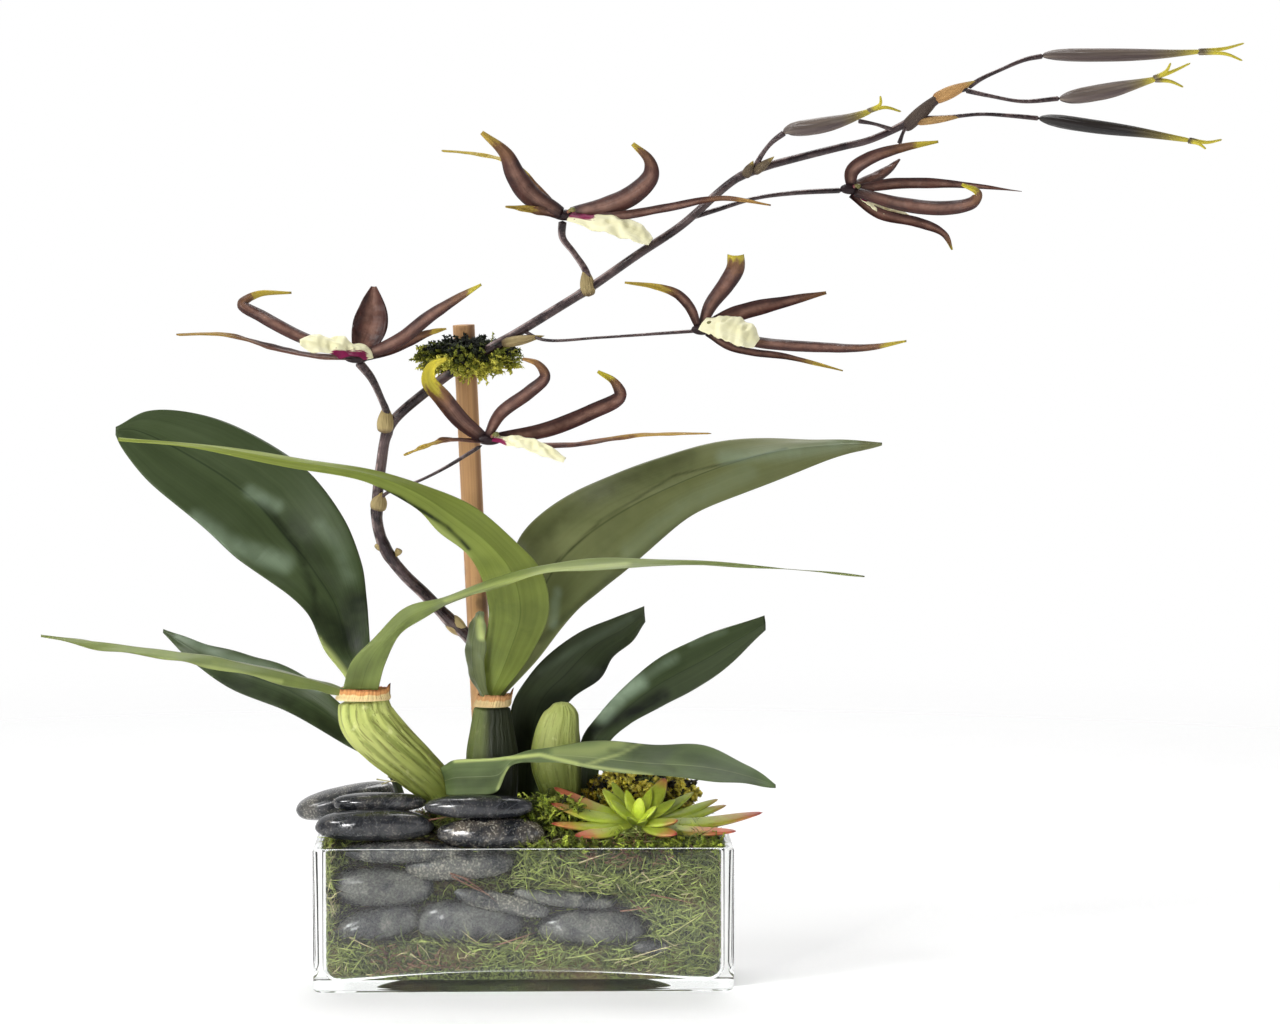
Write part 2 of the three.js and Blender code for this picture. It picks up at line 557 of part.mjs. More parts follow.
// A long closed bud with the curling tips of its tepals.
const BUDS = {
  bud_1: {
    spine: [[373, -46, 675], [414, -46, 675], [457, -46, 676], [488, -46, 678]],
    half: 4.6,
    tips: [[[483, -46, 678], [503, -44, 680], [518, -42, 684]], [[483, -46, 677], [503, -50, 676], [515, -53, 671]]],
  },
  bud_2: {
    spine: [[384, -58, 644], [412, -60, 648], [433, -62, 653], [452, -64, 658]],
    half: 5.4,
    tips: [[[449, -64, 658], [463, -64, 663], [476, -64, 669]], [[450, -64, 657], [462, -61, 656], [472, -58, 652]],
      [[449, -64, 658], [458, -67, 663], [461, -69, 669]]],
  },
  bud_3: {
    spine: [[371, -46, 630], [403, -46, 625], [443, -47, 620], [481, -48, 614]],
    half: 5,
    tips: [[[477, -48, 615], [491, -47, 613], [502, -46, 615]], [[477, -48, 614], [484, -52, 612], [489, -55, 608]]],
  },
  bud_4: {
    spine: [[188, -42, 620], [210, -42, 624], [231, -42, 629], [251, -42, 636]],
    half: 5.4,
    tips: [[[247, -42, 635], [260, -40, 638], [272, -38, 635]], [[247, -42, 635], [256, -46, 640], [256, -49, 646]]],
  },
};

function budShape(name) {
  const { spine, half, tips } = BUDS[name];
  const size = (s) => half * (0.42 + 0.58 * Math.sin(Math.PI * Math.pow(0.9 * s, 0.75)));
  const stalk = PEDICELS[name].points;
  const heading = vector(stalk.at(-1)).sub(vector(stalk.at(-2))).normalize();
  const foot = vector(stalk.at(-1)).addScaledVector(heading, 0.3);
  const onward = foot.clone().addScaledVector(heading, 3);
  const points = [foot.toArray(), onward.toArray(), ...spine.slice(1)];
  const body = solid(sweep(roundTube(points, size, { sides: 7, steps: 9 })));
  const curls = tips.map((tip) =>
    solid(sweep(roundTube(tip, (s) => THREE.MathUtils.lerp(2, 0.7, s), { sides: 4, steps: 3 }))));
  return joined([body, ...curls]);
}

// ---------------------------------------------------------------- succulent

const ROSETTE_CENTRE = [83, -18, 120];
const ROSETTE_LEAF_THICKNESS = 2; // half
// Leaf tips measured from the centre, with the half width of each leaf.
const ROSETTE_LEAVES = [
  [[-61, 14, 23], 4.4], [[-63, -6, 14], 4.4], [[-63, -18, 1], 3.4], [[-46, -24, -7], 4.8], [[28, -27, -6], 4.8],
  [[72, -12, -6], 4.2], [[92, 6, 5], 4.6], [[29, -20, 3], 3.8], [[66, 17, 9], 3.6], [[60, 20, 13], 3.4],
  [[42, 22, 18], 3.6], [[21, 18, 29], 6.6], [[-18, 20, 26], 3.4], [[-25, 10, 22], 4.6], [[-20, -8, 16], 4.4],
  [[28, 4, 15], 4], [[2, -5, 18], 4], [[10, 8, 22], 3.6], [[-8, 8, 22], 3.4],
];

function rosetteLeaf([tip, half], grow) {
  const centre = vector(ROSETTE_CENTRE);
  const reach = vector(tip);
  const root = centre.clone().addScaledVector(reach, 0.02);
  const sag = new THREE.Vector3(0, 0, -0.05 * reach.length());
  const middle = centre.clone().addScaledVector(reach, 0.5).add(sag);
  const end = centre.clone().add(reach);
  const shape = (s) => 0.5 + 0.5 * Math.sin(Math.PI * Math.min(1, 0.1 + 0.75 * s)) - 0.78 * Math.pow(s, 5);
  const section = (s) => [half * shape(s), ROSETTE_LEAF_THICKNESS * shape(s)];
  const points = [root, middle, end].map((point) => point.toArray());
  return solid(sweep({ points, section, sides: 5, steps: 4, up: [0, -0.75, 0.66] }, grow));
}

function makeSucculent(grow = 0) {
  const leaves = ROSETTE_LEAVES.map((leaf) => rosetteLeaf(leaf, grow));
  const [x, y, z] = ROSETTE_CENTRE;
  const stump = solid(ellipsoid({ centre: [x, y, z - 4], half: [9, 8, 11], across: 10, down: 6 }, grow));
  return joined([stump, ...leaves]);
}

// ---------------------------------------------------------------- moss

// Short tapering sprigs that stand out of a tuft's core, evenly turned round it.
function sprigs({ centre, half, count, length, radius, seed, lowest = -1 }) {
  const random = randomSource(seed);
  return range(count).map((index) => {
    const height = 1 - ((1 - lowest) * (index + 0.5)) / count;
    const turn = index * 2.4 + random() * 0.5;
    const flat = Math.sqrt(1 - height * height);
    const outward = new THREE.Vector3(flat * Math.cos(turn), flat * Math.sin(turn), height);
    const surface = vector(centre).add(outward.clone().multiply(vector(half)));
    const root = surface.clone().addScaledVector(outward, -radius * 2);
    const tip = surface.clone().addScaledVector(outward, length * (0.5 + random()));
    tip.z += (random() - 0.5) * length * 0.5;
    const size = (s) => THREE.MathUtils.lerp(radius, 0.5, s);
    return solid(sweep(roundTube([root.toArray(), tip.toArray()], size, { sides: 3, steps: 1, up: [0.3, 1, 0.2] })));
  });
}

const TIE_MOSS = { centre: [-42, -1, 461], half: [36, 21, 15] };
const CUSHION = { centre: [86, 26, 133], half: [41, 15, 19] };

const STAKE_ROUTE = [[-26, 31, 96], [-43, 13, 481]];
const stakeShape = (grow = 0) =>
  solid(sweep(roundTube(STAKE_ROUTE, STAKE_RADIUS, { sides: 12, steps: 2 }), grow));

function makeTieMoss(stemClearance) {
  const core = solid(ellipsoid({ ...TIE_MOSS, across: 10, down: 7 }));
  const tufts = sprigs({ ...TIE_MOSS, count: 26, length: 9, radius: 2.2, seed: 5 });
  return cutBy(joined([core, ...tufts]), [stemClearance, stakeShape(GAP)]);
}

function makeMossCushion() {
  const core = solid(ellipsoid({ ...CUSHION, across: 12, down: 7 }));
  const tufts = sprigs({ ...CUSHION, count: 22, length: 5, radius: 2.6, seed: 9, lowest: -0.05 });
  const inVase = cavity(300, GAP + 0.2);
  return joined([core, ...tufts]).intersect(inVase);
}

function mossLevel(x, y) {
  const toWall = Math.min(VASE_LENGTH / 2 - WALL - Math.abs(x), VASE_DEPTH / 2 - WALL - Math.abs(y));
  const heaped = Math.min(1, Math.max(0, toWall / 14));
  const back = (y + VASE_DEPTH / 2) / VASE_DEPTH;
  const relief = Math.sin(x * 0.31 + y * 0.13) + Math.sin(x * 0.11 - y * 0.37 + 1.3);
  return MOSS_FRONT_LEVEL - 4 + heaped * (5 + MOSS_BACK_RISE * Math.min(1, 1.6 * back) + MOSS_RELIEF * relief);
}

// The moss follows the glass inside and is heaped above the rim.
function mossHeap() {
  const length = VASE_LENGTH - 2 * WALL;
  const depth = VASE_DEPTH - 2 * WALL;
  const block = new THREE.BoxGeometry(length, depth, 200, 17, 6, 1);
  const place = block.attributes.position;
  for (let index = 0; index < place.count; index += 1) {
    if (place.getZ(index) > 0) {
      place.setZ(index, mossLevel(place.getX(index), place.getY(index)));
    } else {
      place.setZ(index, -5);
    }
  }
  return solid(block).intersect(cavity(200, GAP));
}

// The front left of the moss is set back for the stones that lie against the glass.
function stonePocket() {
  const outline = new THREE.Shape([
    [-139, 40], [-60, 37], [20, 36], [76, 35], [80, 26], [105, 27], [104, 37], [93, 40], [92, 52],
    [70, 70], [2, 74], [-4, 150], [-139, 150],
  ].map(([x, z]) => new THREE.Vector2(x, z)));
  const pocket = new THREE.ExtrudeGeometry(outline, { depth: POCKET_DEPTH + 4, bevelEnabled: false });
  pocket.rotateX(Math.PI / 2);
  pocket.translate(0, -(VASE_DEPTH / 2 - WALL) + POCKET_DEPTH, 0);
  return solid(pocket);
}

// The bark mix that the orchid's roots have filled, hidden behind the stones.
function rootBall(grow = 0) {
  const ring = (halfLength, halfDepth, z) =>
    roundedRing(halfLength + grow, halfDepth + grow, 10 + grow, z).map((point) => point.add(vector([-15, 11, 0])));
  return solid(loft([ring(68, 16, 26 - grow), ring(78, 21, 34), ring(78, 21, 90), ring(70, 16, 98 + grow)]));
}

// ---------------------------------------------------------------- the arrangement

const bulbNames = Object.keys(BULBS);
const leafNames = Object.keys(LEAVES);
const stemClearance = makeFlowerStem(GAP);
const bulbClearances = bulbNames.map((name) => bulbShape(BULBS[name], GAP));
const leafClearances = leafNames.map((name) => leafShape(name, GAP));
const stoneClearances = PEBBLES.map((stone) => pebbleShape(stone, GAP));
const collarClearances = Object.values(COLLARS).map((collar) => collarShape(collar, GAP));

const GREEN = { dark: 0x3c502d, olive: 0x5f7346, lime: 0x8c9b4b, grey: 0x6e825f };
const LEAF_COLOURS = {
  leaf_left_broad: GREEN.dark,
  leaf_left_thin: GREEN.lime,
  leaf_left_low: GREEN.dark,
  leaf_right_broad: GREEN.olive,
  leaf_arching: GREEN.lime,
  leaf_crossing: GREEN.lime,
  leaf_right_short: GREEN.dark,
  leaf_right_upper: GREEN.dark,
  leaf_right_low: GREEN.grey,
  leaf_sheath: GREEN.olive,
};

addPiece('vase', makeVase(), { colour: 0xeef4f2, roughness: 0.03, transparent: true, opacity: 0.3 });

addPiece('root_ball', cutBy(rootBall(), [...bulbClearances, stakeShape(GAP), ...stoneClearances]),
  { colour: 0x3b2c20, roughness: 0.95 });

const cushion = makeMossCushion();
addPiece('moss_cushion', cutBy(cushion, [makeSucculent(GAP), ...leafClearances]),
  { colour: 0xa89a35, roughness: 0.95 });

addPiece('moss_bed', cutBy(mossHeap(), [
  stonePocket(), rootBall(GAP), stemClearance, stakeShape(GAP), makeSucculent(GAP),
  ...bulbClearances, ...leafClearances, ...stoneClearances,
  solid(ellipsoid({ ...CUSHION, across: 12, down: 7 }, GAP)),
]), { colour: 0x6e8232, roughness: 0.95 });

makePebbles().forEach((stone, index) =>
  addPiece(`pebble_${index + 1}`, stone, { colour: 0x2d3034, roughness: 0.3 }));

bulbNames.forEach((name) => addPiece(name, bulbShape(BULBS[name]), { colour: 0x8c9b4b, roughness: 0.5 }));

leafNames.forEach((name) => {
  const seats = name === 'leaf_left_thin' ? [...collarClearances, ...bulbClearances] : bulbClearances;
  addPiece(name, cutBy(leafShape(name), seats), { colour: LEAF_COLOURS[name], roughness: 0.45 });
});

const collaredLeaves = leafNames.filter((name) => name !== 'leaf_left_thin').map((name) => leafShape(name, GAP));
const collarCuts = [...collaredLeaves, ...bulbClearances, stemClearance];
Object.entries(COLLARS).forEach(([name, collar]) =>
  addPiece(name, cutBy(collarShape(collar), collarCuts), { colour: 0xd2965a, roughness: 0.9 }));

addPiece('flower_stem', makeFlowerStem(), { colour: 0x46373c, roughness: 0.35 });
addPiece('stake', stakeShape(), { colour: 0xb98c5a, roughness: 0.6 });
addPiece('tie_moss', makeTieMoss(stemClearance), { colour: 0x2c3a18, roughness: 0.95 });

Object.keys(BLOOMS).forEach((name) => {
  addPiece(`${name}_tepals`, bloomShape(name), { colour: 0x4b322d, roughness: 0.5 });
  addPiece(`${name}_lip`, lipShape(BLOOMS[name].lip), { colour: 0xfaf5be, roughness: 0.5 });
});

Object.keys(BUDS).forEach((name) => addPiece(name, budShape(name), { colour: 0x554b4b, roughness: 0.5 }));

addPiece('succulent', makeSucculent(), { colour: 0x96af32, roughness: 0.4 });

export default arrangement;
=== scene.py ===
# Brassia orchid in a rectangular glass vase of moss, river pebbles and a small succulent.
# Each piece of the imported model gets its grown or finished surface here. Shapes are given in
# millimetres in the model's own frame: +X along the vase, -Y to the front, +Z up.
import json
import math

import bpy
import numpy as np
from bpy.props import FloatProperty, FloatVectorProperty, IntProperty, PointerProperty
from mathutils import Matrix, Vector, noise

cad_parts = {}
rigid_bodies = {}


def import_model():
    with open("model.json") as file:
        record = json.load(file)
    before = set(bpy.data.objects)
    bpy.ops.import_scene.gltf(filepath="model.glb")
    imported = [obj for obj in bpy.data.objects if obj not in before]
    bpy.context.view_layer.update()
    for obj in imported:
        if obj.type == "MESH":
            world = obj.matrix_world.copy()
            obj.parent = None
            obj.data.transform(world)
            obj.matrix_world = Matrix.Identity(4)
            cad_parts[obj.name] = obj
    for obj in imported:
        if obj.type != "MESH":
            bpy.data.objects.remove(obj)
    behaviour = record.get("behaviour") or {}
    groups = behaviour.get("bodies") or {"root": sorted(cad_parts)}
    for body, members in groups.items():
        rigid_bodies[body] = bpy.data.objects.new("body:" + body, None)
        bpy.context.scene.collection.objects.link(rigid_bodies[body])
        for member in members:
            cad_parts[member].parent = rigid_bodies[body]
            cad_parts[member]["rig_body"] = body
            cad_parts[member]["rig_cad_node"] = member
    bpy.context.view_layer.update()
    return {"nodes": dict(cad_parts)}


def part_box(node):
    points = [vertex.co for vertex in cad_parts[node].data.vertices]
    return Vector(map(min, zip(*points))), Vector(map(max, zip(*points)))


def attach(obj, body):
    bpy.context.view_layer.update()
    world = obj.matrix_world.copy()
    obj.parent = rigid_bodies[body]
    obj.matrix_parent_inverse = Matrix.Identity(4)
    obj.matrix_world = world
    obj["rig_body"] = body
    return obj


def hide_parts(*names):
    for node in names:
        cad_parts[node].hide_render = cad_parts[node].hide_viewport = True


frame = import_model()

bl_info = {
    "name": "Orchid in a glass vase",
    "version": (1, 0, 0),
    "blender": (4, 5, 0),
    "location": "3D View > Sidebar > Orchid",
    "description": "Grows the orchid arrangement's surfaces round its frame",
    "category": "Object",
}

MM = 0.001
SEAM = 1e-6  # points closer than this, in metres, are one point
TRIANGLES_A_PIECE = 190000
STRAND_TRIANGLES = 10
MOSS_TOP = 95  # height in mm above which the moss grows freely
CLEARANCE = 0.35  # mm between the glass and what stands in it


def screen(red, green, blue):
    """A colour as the eye reads it on a screen, from 0 to 255, made linear for the shaders."""
    return tuple(
        v / 255 / 12.92 if v <= 10 else ((v / 255 + 0.055) / 1.055) ** 2.4 for v in (red, green, blue)
    )


# ---------------- settings


def colour(name, description, red, green, blue):
    return FloatVectorProperty(
        name=name, description=description, subtype="COLOR", size=3, min=0, max=1,
        default=screen(red, green, blue),
    )


def length(name, description, millimetres, most=100):
    return FloatProperty(
        name=name, description=description, subtype="DISTANCE", unit="LENGTH",
        default=millimetres * MM, min=0, max=most * MM,
    )


def power(name, description, watts):
    return FloatProperty(name=name, description=description, subtype="POWER", default=watts, min=0)


class VaseSettings(bpy.types.PropertyGroup):
    wall: length("Wall", "Thickness of the glass walls", 7)
    base: length("Base", "Thickness of the glass base", 12)
    corner: length("Corner", "Radius of the upright corners", 7)
    rim: length("Rim", "Rounding of the fire-polished rim", 2.2)
    recess: length("Recess", "How far the underside is hollowed", 9.6)
    dip: length("Dip", "How much lower the inside floor is at the ends than in the middle", 7)
    bowl: length("Bowl", "Rounding between the inside floor and the walls", 13)
    tint: colour("Tint", "Colour of the glass", 253, 254, 253)


class StoneSettings(bpy.types.PropertyGroup):
    body: colour("Body", "Main colour of the pebbles", 45, 47, 52)
    mottle: colour("Mottle", "Colour of the pebbles' speckles", 160, 154, 140)
    unevenness: FloatProperty(
        name="Unevenness", description="How far a stone departs from an egg", default=0.075, min=0, max=0.3
    )
    bluntness: FloatProperty(
        name="Bluntness", description="2 for egg-shaped ends, more for blunter ones", default=2.5, min=2, max=4
    )


class MossSettings(bpy.types.PropertyGroup):
    strands: IntProperty(name="Strands", description="Strands on the moss bed", default=36000, min=0, max=60000)
    reach: length("Length", "Length of a strand", 14)
    thickness: length("Thickness", "Radius of a strand", 0.58, most=3)
    green: colour("Green", "Fresh moss", 200, 216, 112)
    deep: colour("Deep", "Moss in the shade", 76, 88, 42)
    brown: colour("Brown", "Dry moss", 186, 134, 110)
    straw: colour("Straw", "Dry blades in the moss", 232, 216, 168)


class LeafSettings(bpy.types.PropertyGroup):
    dark: colour("Dark", "Old leaves", 48, 60, 34)
    olive: colour("Olive", "Full-grown leaves", 124, 126, 80)
    lime: colour("Lime", "Young leaves", 106, 118, 44)
    grey: colour("Grey", "The low leaf", 88, 102, 60)
    pale: colour("Pale", "Lightest places on the leaves", 190, 202, 124)
    ripple: length("Ripple", "How far the leaf edges wave", 0.8, most=5)


class StemSettings(bpy.types.PropertyGroup):
    skin: colour("Stem", "Flower stem", 54, 36, 40)
    bloom: colour("Bloom", "Greyish bloom on the stem", 140, 120, 116)
    bract: colour("Bract", "Papery bracts", 208, 186, 130)
    bamboo: colour("Bamboo", "Bamboo stake", 202, 154, 100)
    bulb: colour("Bulb", "Pseudobulbs", 178, 188, 100)
    furrow: colour("Furrow", "Furrows of the pseudobulbs", 92, 104, 36)
    collar: colour("Collar", "Dried collars", 226, 162, 96)


class FlowerSettings(bpy.types.PropertyGroup):
    tepal: colour("Tepal", "Body of the tepals", 74, 40, 34)
    outside: colour("Outside", "Outside of the tepals", 136, 92, 76)
    gold: colour("Tip", "Tips of the tepals", 218, 202, 58)
    lip: colour("Lip", "Lip", 255, 251, 212)
    throat: colour("Throat", "Base of the lip", 132, 22, 74)
    column: colour("Column", "Column", 108, 112, 60)


class SucculentSettings(bpy.types.PropertyGroup):
    leaf: colour("Leaf", "Rosette leaves", 164, 176, 58)
    heart: colour("Heart", "Young leaves in the heart", 200, 216, 64)
    blush: colour("Blush", "Leaf tips", 190, 104, 70)


class StageSettings(bpy.types.PropertyGroup):
    floor: colour("Floor", "Floor", 253, 253, 253)
    key: power("Key", "Soft box at the upper left", 52)
    fill: power("Fill", "Soft box at the right", 6)
    top: power("Top", "Soft box behind and above", 24)
    low: power("Low", "Narrow soft box on the vase", 0.45)
    front: FloatProperty(name="Front", description="Brightness of the studio before the vase", default=0.2, min=0)
    lens: FloatProperty(name="Lens", description="Focal length in mm", default=117.8, min=10)


# ---------------- curves


def curve_through(points):
    """A smooth curve through given points: gives the places for an array of s from 0 to 1."""
    hand = np.array(points, float)
    knots = np.vstack([2 * hand[0] - hand[1], hand, 2 * hand[-1] - hand[-2]])
    gaps = np.sqrt(np.linalg.norm(np.diff(knots, axis=0), axis=1))
    spans = len(hand) - 1

    def at(s):
        reach = np.clip(np.asarray(s, float), 0, 1) * spans
        span = np.minimum(reach.astype(int), spans - 1)
        w = (reach - span)[..., None]
        before, start, end, after = (knots[span + step] for step in range(4))
        gap_before, gap, gap_after = (gaps[span + step][..., None] for step in range(3))
        leave = gap * ((start - before) / gap_before - (end - before) / (gap_before + gap) + (end - start) / gap)
        arrive = gap * ((end - start) / gap - (after - start) / (gap + gap_after) + (after - end) / gap_after)
        return (
            (2 * w**3 - 3 * w**2 + 1) * start + (w**3 - 2 * w**2 + w) * leave
            + (3 * w**2 - 2 * w**3) * end + (w**3 - w**2) * arrive
        )

    return at


def unit(vectors):
    return vectors / np.maximum(np.linalg.norm(vectors, axis=-1, keepdims=True), 1e-9)


def heading(curve, s, step=0.004):
    """The direction in which a curve runs at s."""
    return unit(curve(np.minimum(s + step, 1)) - curve(np.maximum(s - step, 0)))


def bump_at(value, centre, half_width):
    """1 at centre, falling smoothly to 0 half_width away from it and beyond."""
    return 0.5 + 0.5 * np.cos(np.pi * np.clip(np.abs(value - centre) / half_width, 0, 1))


def near_line(places, line, reach):
    """1 for places on a line given by x and z, falling to 0 at reach from it."""
    flat, least = places[:, [0, 2]], np.full(len(places), np.inf)
    for start, end in zip(np.array(line[:-1], float), np.array(line[1:], float)):
        run = end - start
        share = np.clip((flat - start) @ run / (run @ run), 0, 1)
        least = np.minimum(least, np.linalg.norm(flat - start - share[:, None] * run, axis=1))
    return bump_at(least, 0, reach)


# ---------------- making pieces


def deselect():
    bpy.ops.object.select_all(action="DESELECT")


def seal(piece):
    """Closes the seams and poles of a mesh and turns its faces outwards."""
    bpy.context.view_layer.objects.active = piece
    bpy.ops.object.mode_set(mode="EDIT")
    bpy.ops.mesh.select_all(action="SELECT")
    bpy.ops.mesh.remove_doubles(threshold=SEAM)
    bpy.ops.mesh.normals_make_consistent(inside=False)
    bpy.ops.object.mode_set(mode="OBJECT")
    bpy.ops.object.shade_smooth()


def skin(name, shape, columns, rows, notes=None):
    """A grid wrapped into a closed skin: shape(turn, along), both from 0 to 1, gives its points.
    notes gives the numbers to keep on them, by name."""
    deselect()
    bpy.ops.mesh.primitive_grid_add(x_subdivisions=columns, y_subdivisions=rows, size=1)
    piece = bpy.context.object
    piece.name = piece.data.name = name
    flat = np.empty(len(piece.data.vertices) * 3)
    piece.data.vertices.foreach_get("co", flat)
    turn, along = flat.reshape(-1, 3)[:, 0] + 0.5, flat.reshape(-1, 3)[:, 1] + 0.5
    places = shape(turn, along)
    piece.data.vertices.foreach_set("co", (places * MM).ravel())
    if notes:
        mark(piece, **notes(turn, along, places))
    seal(piece)
    return piece


def mark(piece, **values):
    """Notes numbers on a piece's points, for its material."""
    for name, value in values.items():
        note = piece.data.attributes.new(name, "FLOAT", "POINT")
        note.data.foreach_set("value", np.broadcast_to(value, len(piece.data.vertices)).astype(float))


def join(name, parts):
    """Makes one piece of several."""
    deselect()
    for part in parts:
        part.select_set(True)
    bpy.context.view_layer.objects.active = parts[0]
    if len(parts) > 1:
        bpy.ops.object.join()
    piece = bpy.context.object
    piece.name = piece.data.name = name
    return piece


def finish_piece(piece, material, node=None):
    """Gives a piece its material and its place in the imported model."""
    piece.data.materials.clear()
    piece.data.materials.append(material)
    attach(piece, "root")
    if node:
        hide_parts(node)


def blade(left, right, fold=0.0, thickness=1.0, taper=0.0, ripple=0.0, waves=5, cup=0.0, crease=0.0, dents=0.0,
          seed=0):
    """A thin blade between two edge curves. taper thins it to the tip, fold lifts the midrib, cup
    rounds the face, ripple waves the edges, crease sinks a narrow groove along the midrib and
    dents bend the face."""
    phases = np.random.default_rng(seed).uniform(0, 2 * np.pi, 6)
    left_edge, right_edge = curve_through(left), curve_through(right)

    def middle(s):
        return (left_edge(s) + right_edge(s)) / 2

    def shape(turn, along):
        across = 1 - np.abs(2 * turn - 1)
        side = np.where(turn <= 0.5, 1, -1)[:, None]
        start, end = left_edge(along), right_edge(along)
        width = np.linalg.norm(end - start, axis=1, keepdims=True)
        normal = unit(np.cross(heading(middle, along, 0.01), end - start))
        off = np.abs(2 * across - 1)[:, None]
        rise = fold * width * (1 - off**1.15) + cup * width * (1 - off**2)
        rise = rise + ripple * off**2 * np.sin(2 * np.pi * waves * along + 2.4 * across)[:, None]
        rise = rise - crease * np.exp(-((off / 0.05) ** 2))
        for step, (waves_along, waves_across) in enumerate(((3.3, 0.9), (5.7, 1.3), (9.1, 0.6))):
            wave = np.sin(2 * np.pi * waves_along * along + phases[step] + 1.7 * across)
            wave = wave * np.cos(2 * np.pi * waves_across * across + phases[step + 3])
            rise = rise + (dents / (step + 1) * wave * np.sin(np.pi * along))[:, None]
        ends = np.clip(np.minimum(along, 1 - along) * 60, 0, 1)[:, None]
        half = thickness / 2 * np.sqrt(np.maximum(1 - off**4, 0)) * ends * (1 - taper * along[:, None])
        return start + (end - start) * across[:, None] + normal * (rise + side * half)

    return shape


def ribbon(spine, width, face, **options):
    """A blade along one centre line: width(s) is its half width, and face is where it looks."""
    curve = curve_through(spine)
    stations = np.linspace(0, 1, 25)
    side = unit(np.cross(np.array(face, float), heading(curve, stations, 0.01)))
    reach = side * width(stations)[:, None]
    centres = curve(stations)
    return blade(centres - reach, centres + reach, **options)


def sweep(points, section, up=(0, 1, 0), cap=0.0):
    """A body along a curve: section(along, turn) gives its half sizes across and along up. cap
    is the share of the length over which each end is rounded off."""
    curve = curve_through(points)

    def shape(turn, along):
        direction = heading(curve, along)
        reference = np.array(up, float)
        v = unit(reference - direction * (direction @ reference)[:, None])
        u = np.cross(direction, v)
        across, deep = section(along, turn)
        near_end = np.minimum(along, 1 - along)
        closing = np.sqrt(np.clip(1 - (1 - near_end / cap) ** 2, 0, 1)) if cap else np.ones_like(along)
        closing = np.where(near_end < 1e-6, 0, np.where(near_end < cap, closing, 1))
        angle = 2 * np.pi * turn
        offset = u * (across * np.cos(angle) * closing)[:, None] + v * (deep * np.sin(angle) * closing)[:, None]
        return curve(along) + offset

    return shape


def tube(points, radius, **options):
    """A sweep with a round section: radius is a number or a rule along the length."""
    def section(along, turn):
        size = radius(along) if callable(radius) else np.full_like(along, radius)
        return size, size

    return sweep(points, section, **options)


# ---------------- shader tools


class Wire:
    """An output socket to reckon with: each sum adds a Math node to its tree."""

    def __init__(self, socket):
        self.socket = socket
        self.tree = socket.id_data

    def __add__(self, other):
        return calc("ADD", self, other)

    def __sub__(self, other):
        return calc("SUBTRACT", self, other)

    def __rsub__(self, other):
        return calc("SUBTRACT", other, self)

    def __mul__(self, other):
        return calc("MULTIPLY", self, other)

    def __abs__(self):
        return calc("ABSOLUTE", self)


def outlets(node):
    """A node's outputs as wires, by number and by name."""
    wires = [Wire(socket) for socket in node.outputs]
    return {**dict(enumerate(wires)), **{wire.socket.name: wire for wire in reversed(wires)}}


def ink(value):
    """A colour for a socket, from a setting or from red, green and blue between 0 and 255."""
    return (*(screen(*value) if isinstance(value, tuple) else value), 1)


def connect(value, socket):
    """Links a wire to an input socket, or sets the socket to a value."""
    if isinstance(value, Wire):
        socket.id_data.links.new(value.socket, socket)
    else:
        socket.default_value = ink(value) if socket.type == "RGBA" else value


def put(tree, kind, inputs=None, **settings):
    """Adds a shader node and returns its outputs: inputs are wires to link or values to set."""
    made = tree.nodes.new("ShaderNode" + kind)
    for name, value in settings.items():
        setattr(made, name, value)
    for key, value in (inputs or {}).items():
        connect(value, made.inputs[key])
    return outlets(made)


def tree_of(values):
    """The node tree of the first wire among some values."""
    return next(value.tree for value in values if isinstance(value, Wire))


def calc(operation, *values):
    return put(tree_of(values), "Math", dict(enumerate(values)), operation=operation)[0]


def mixed(factor, first, second, mode="MIX", tree=None):
    """Mixes two colours. The tree is needed only where none of the three comes by a wire."""
    inputs = {0: factor, 6: first, 7: second}
    return put(tree or tree_of(inputs.values()), "Mix", inputs, data_type="RGBA", blend_type=mode)[2]


def between(value, low, high, to_low=0.0, to_high=1.0):
    """Maps a value that runs from low to high smoothly on to another range."""
    inputs = {"Value": value, "From Min": low, "From Max": high, "To Min": to_low, "To Max": to_high}
    return put(value.tree, "MapRange", inputs, interpolation_type="SMOOTHSTEP")["Result"]


def cloud(vector, scale, detail=3.0, distortion=0.0):
    inputs = {"Vector": vector, "Scale": scale, "Detail": detail, "Distortion": distortion}
    return put(vector.tree, "TexNoise", inputs)["Fac"]


def noted(tree, name):
    """A number noted on the piece's points."""
    return put(tree, "Attribute", attribute_name=name)["Fac"]


def relief(height, distance, strength=1.0):
    """Turns heights into a normal: distance is the relief's depth in metres."""
    return put(height.tree, "Bump", {"Height": height, "Distance": distance, "Strength": strength})["Normal"]


def object_place(tree):
    return put(tree, "TexCoord")["Object"]


def own_map(tree):
    """The two places of a piece's own map: across or round it, and along it."""
    split = put(tree, "SeparateXYZ", {0: put(tree, "UVMap")["UV"]})
    return split[0], split[1]


def new_material(name):
    material = bpy.data.materials.new(name)
    material.use_nodes = True
    tree = material.node_tree
    return material, tree, tree.nodes["Principled BSDF"]


def feed(shader, **sockets):
    """Links or sets the shader's inputs, named with underscores for spaces."""
    for key, value in sockets.items():
        connect(value, shader.inputs[key.replace("_", " ")])


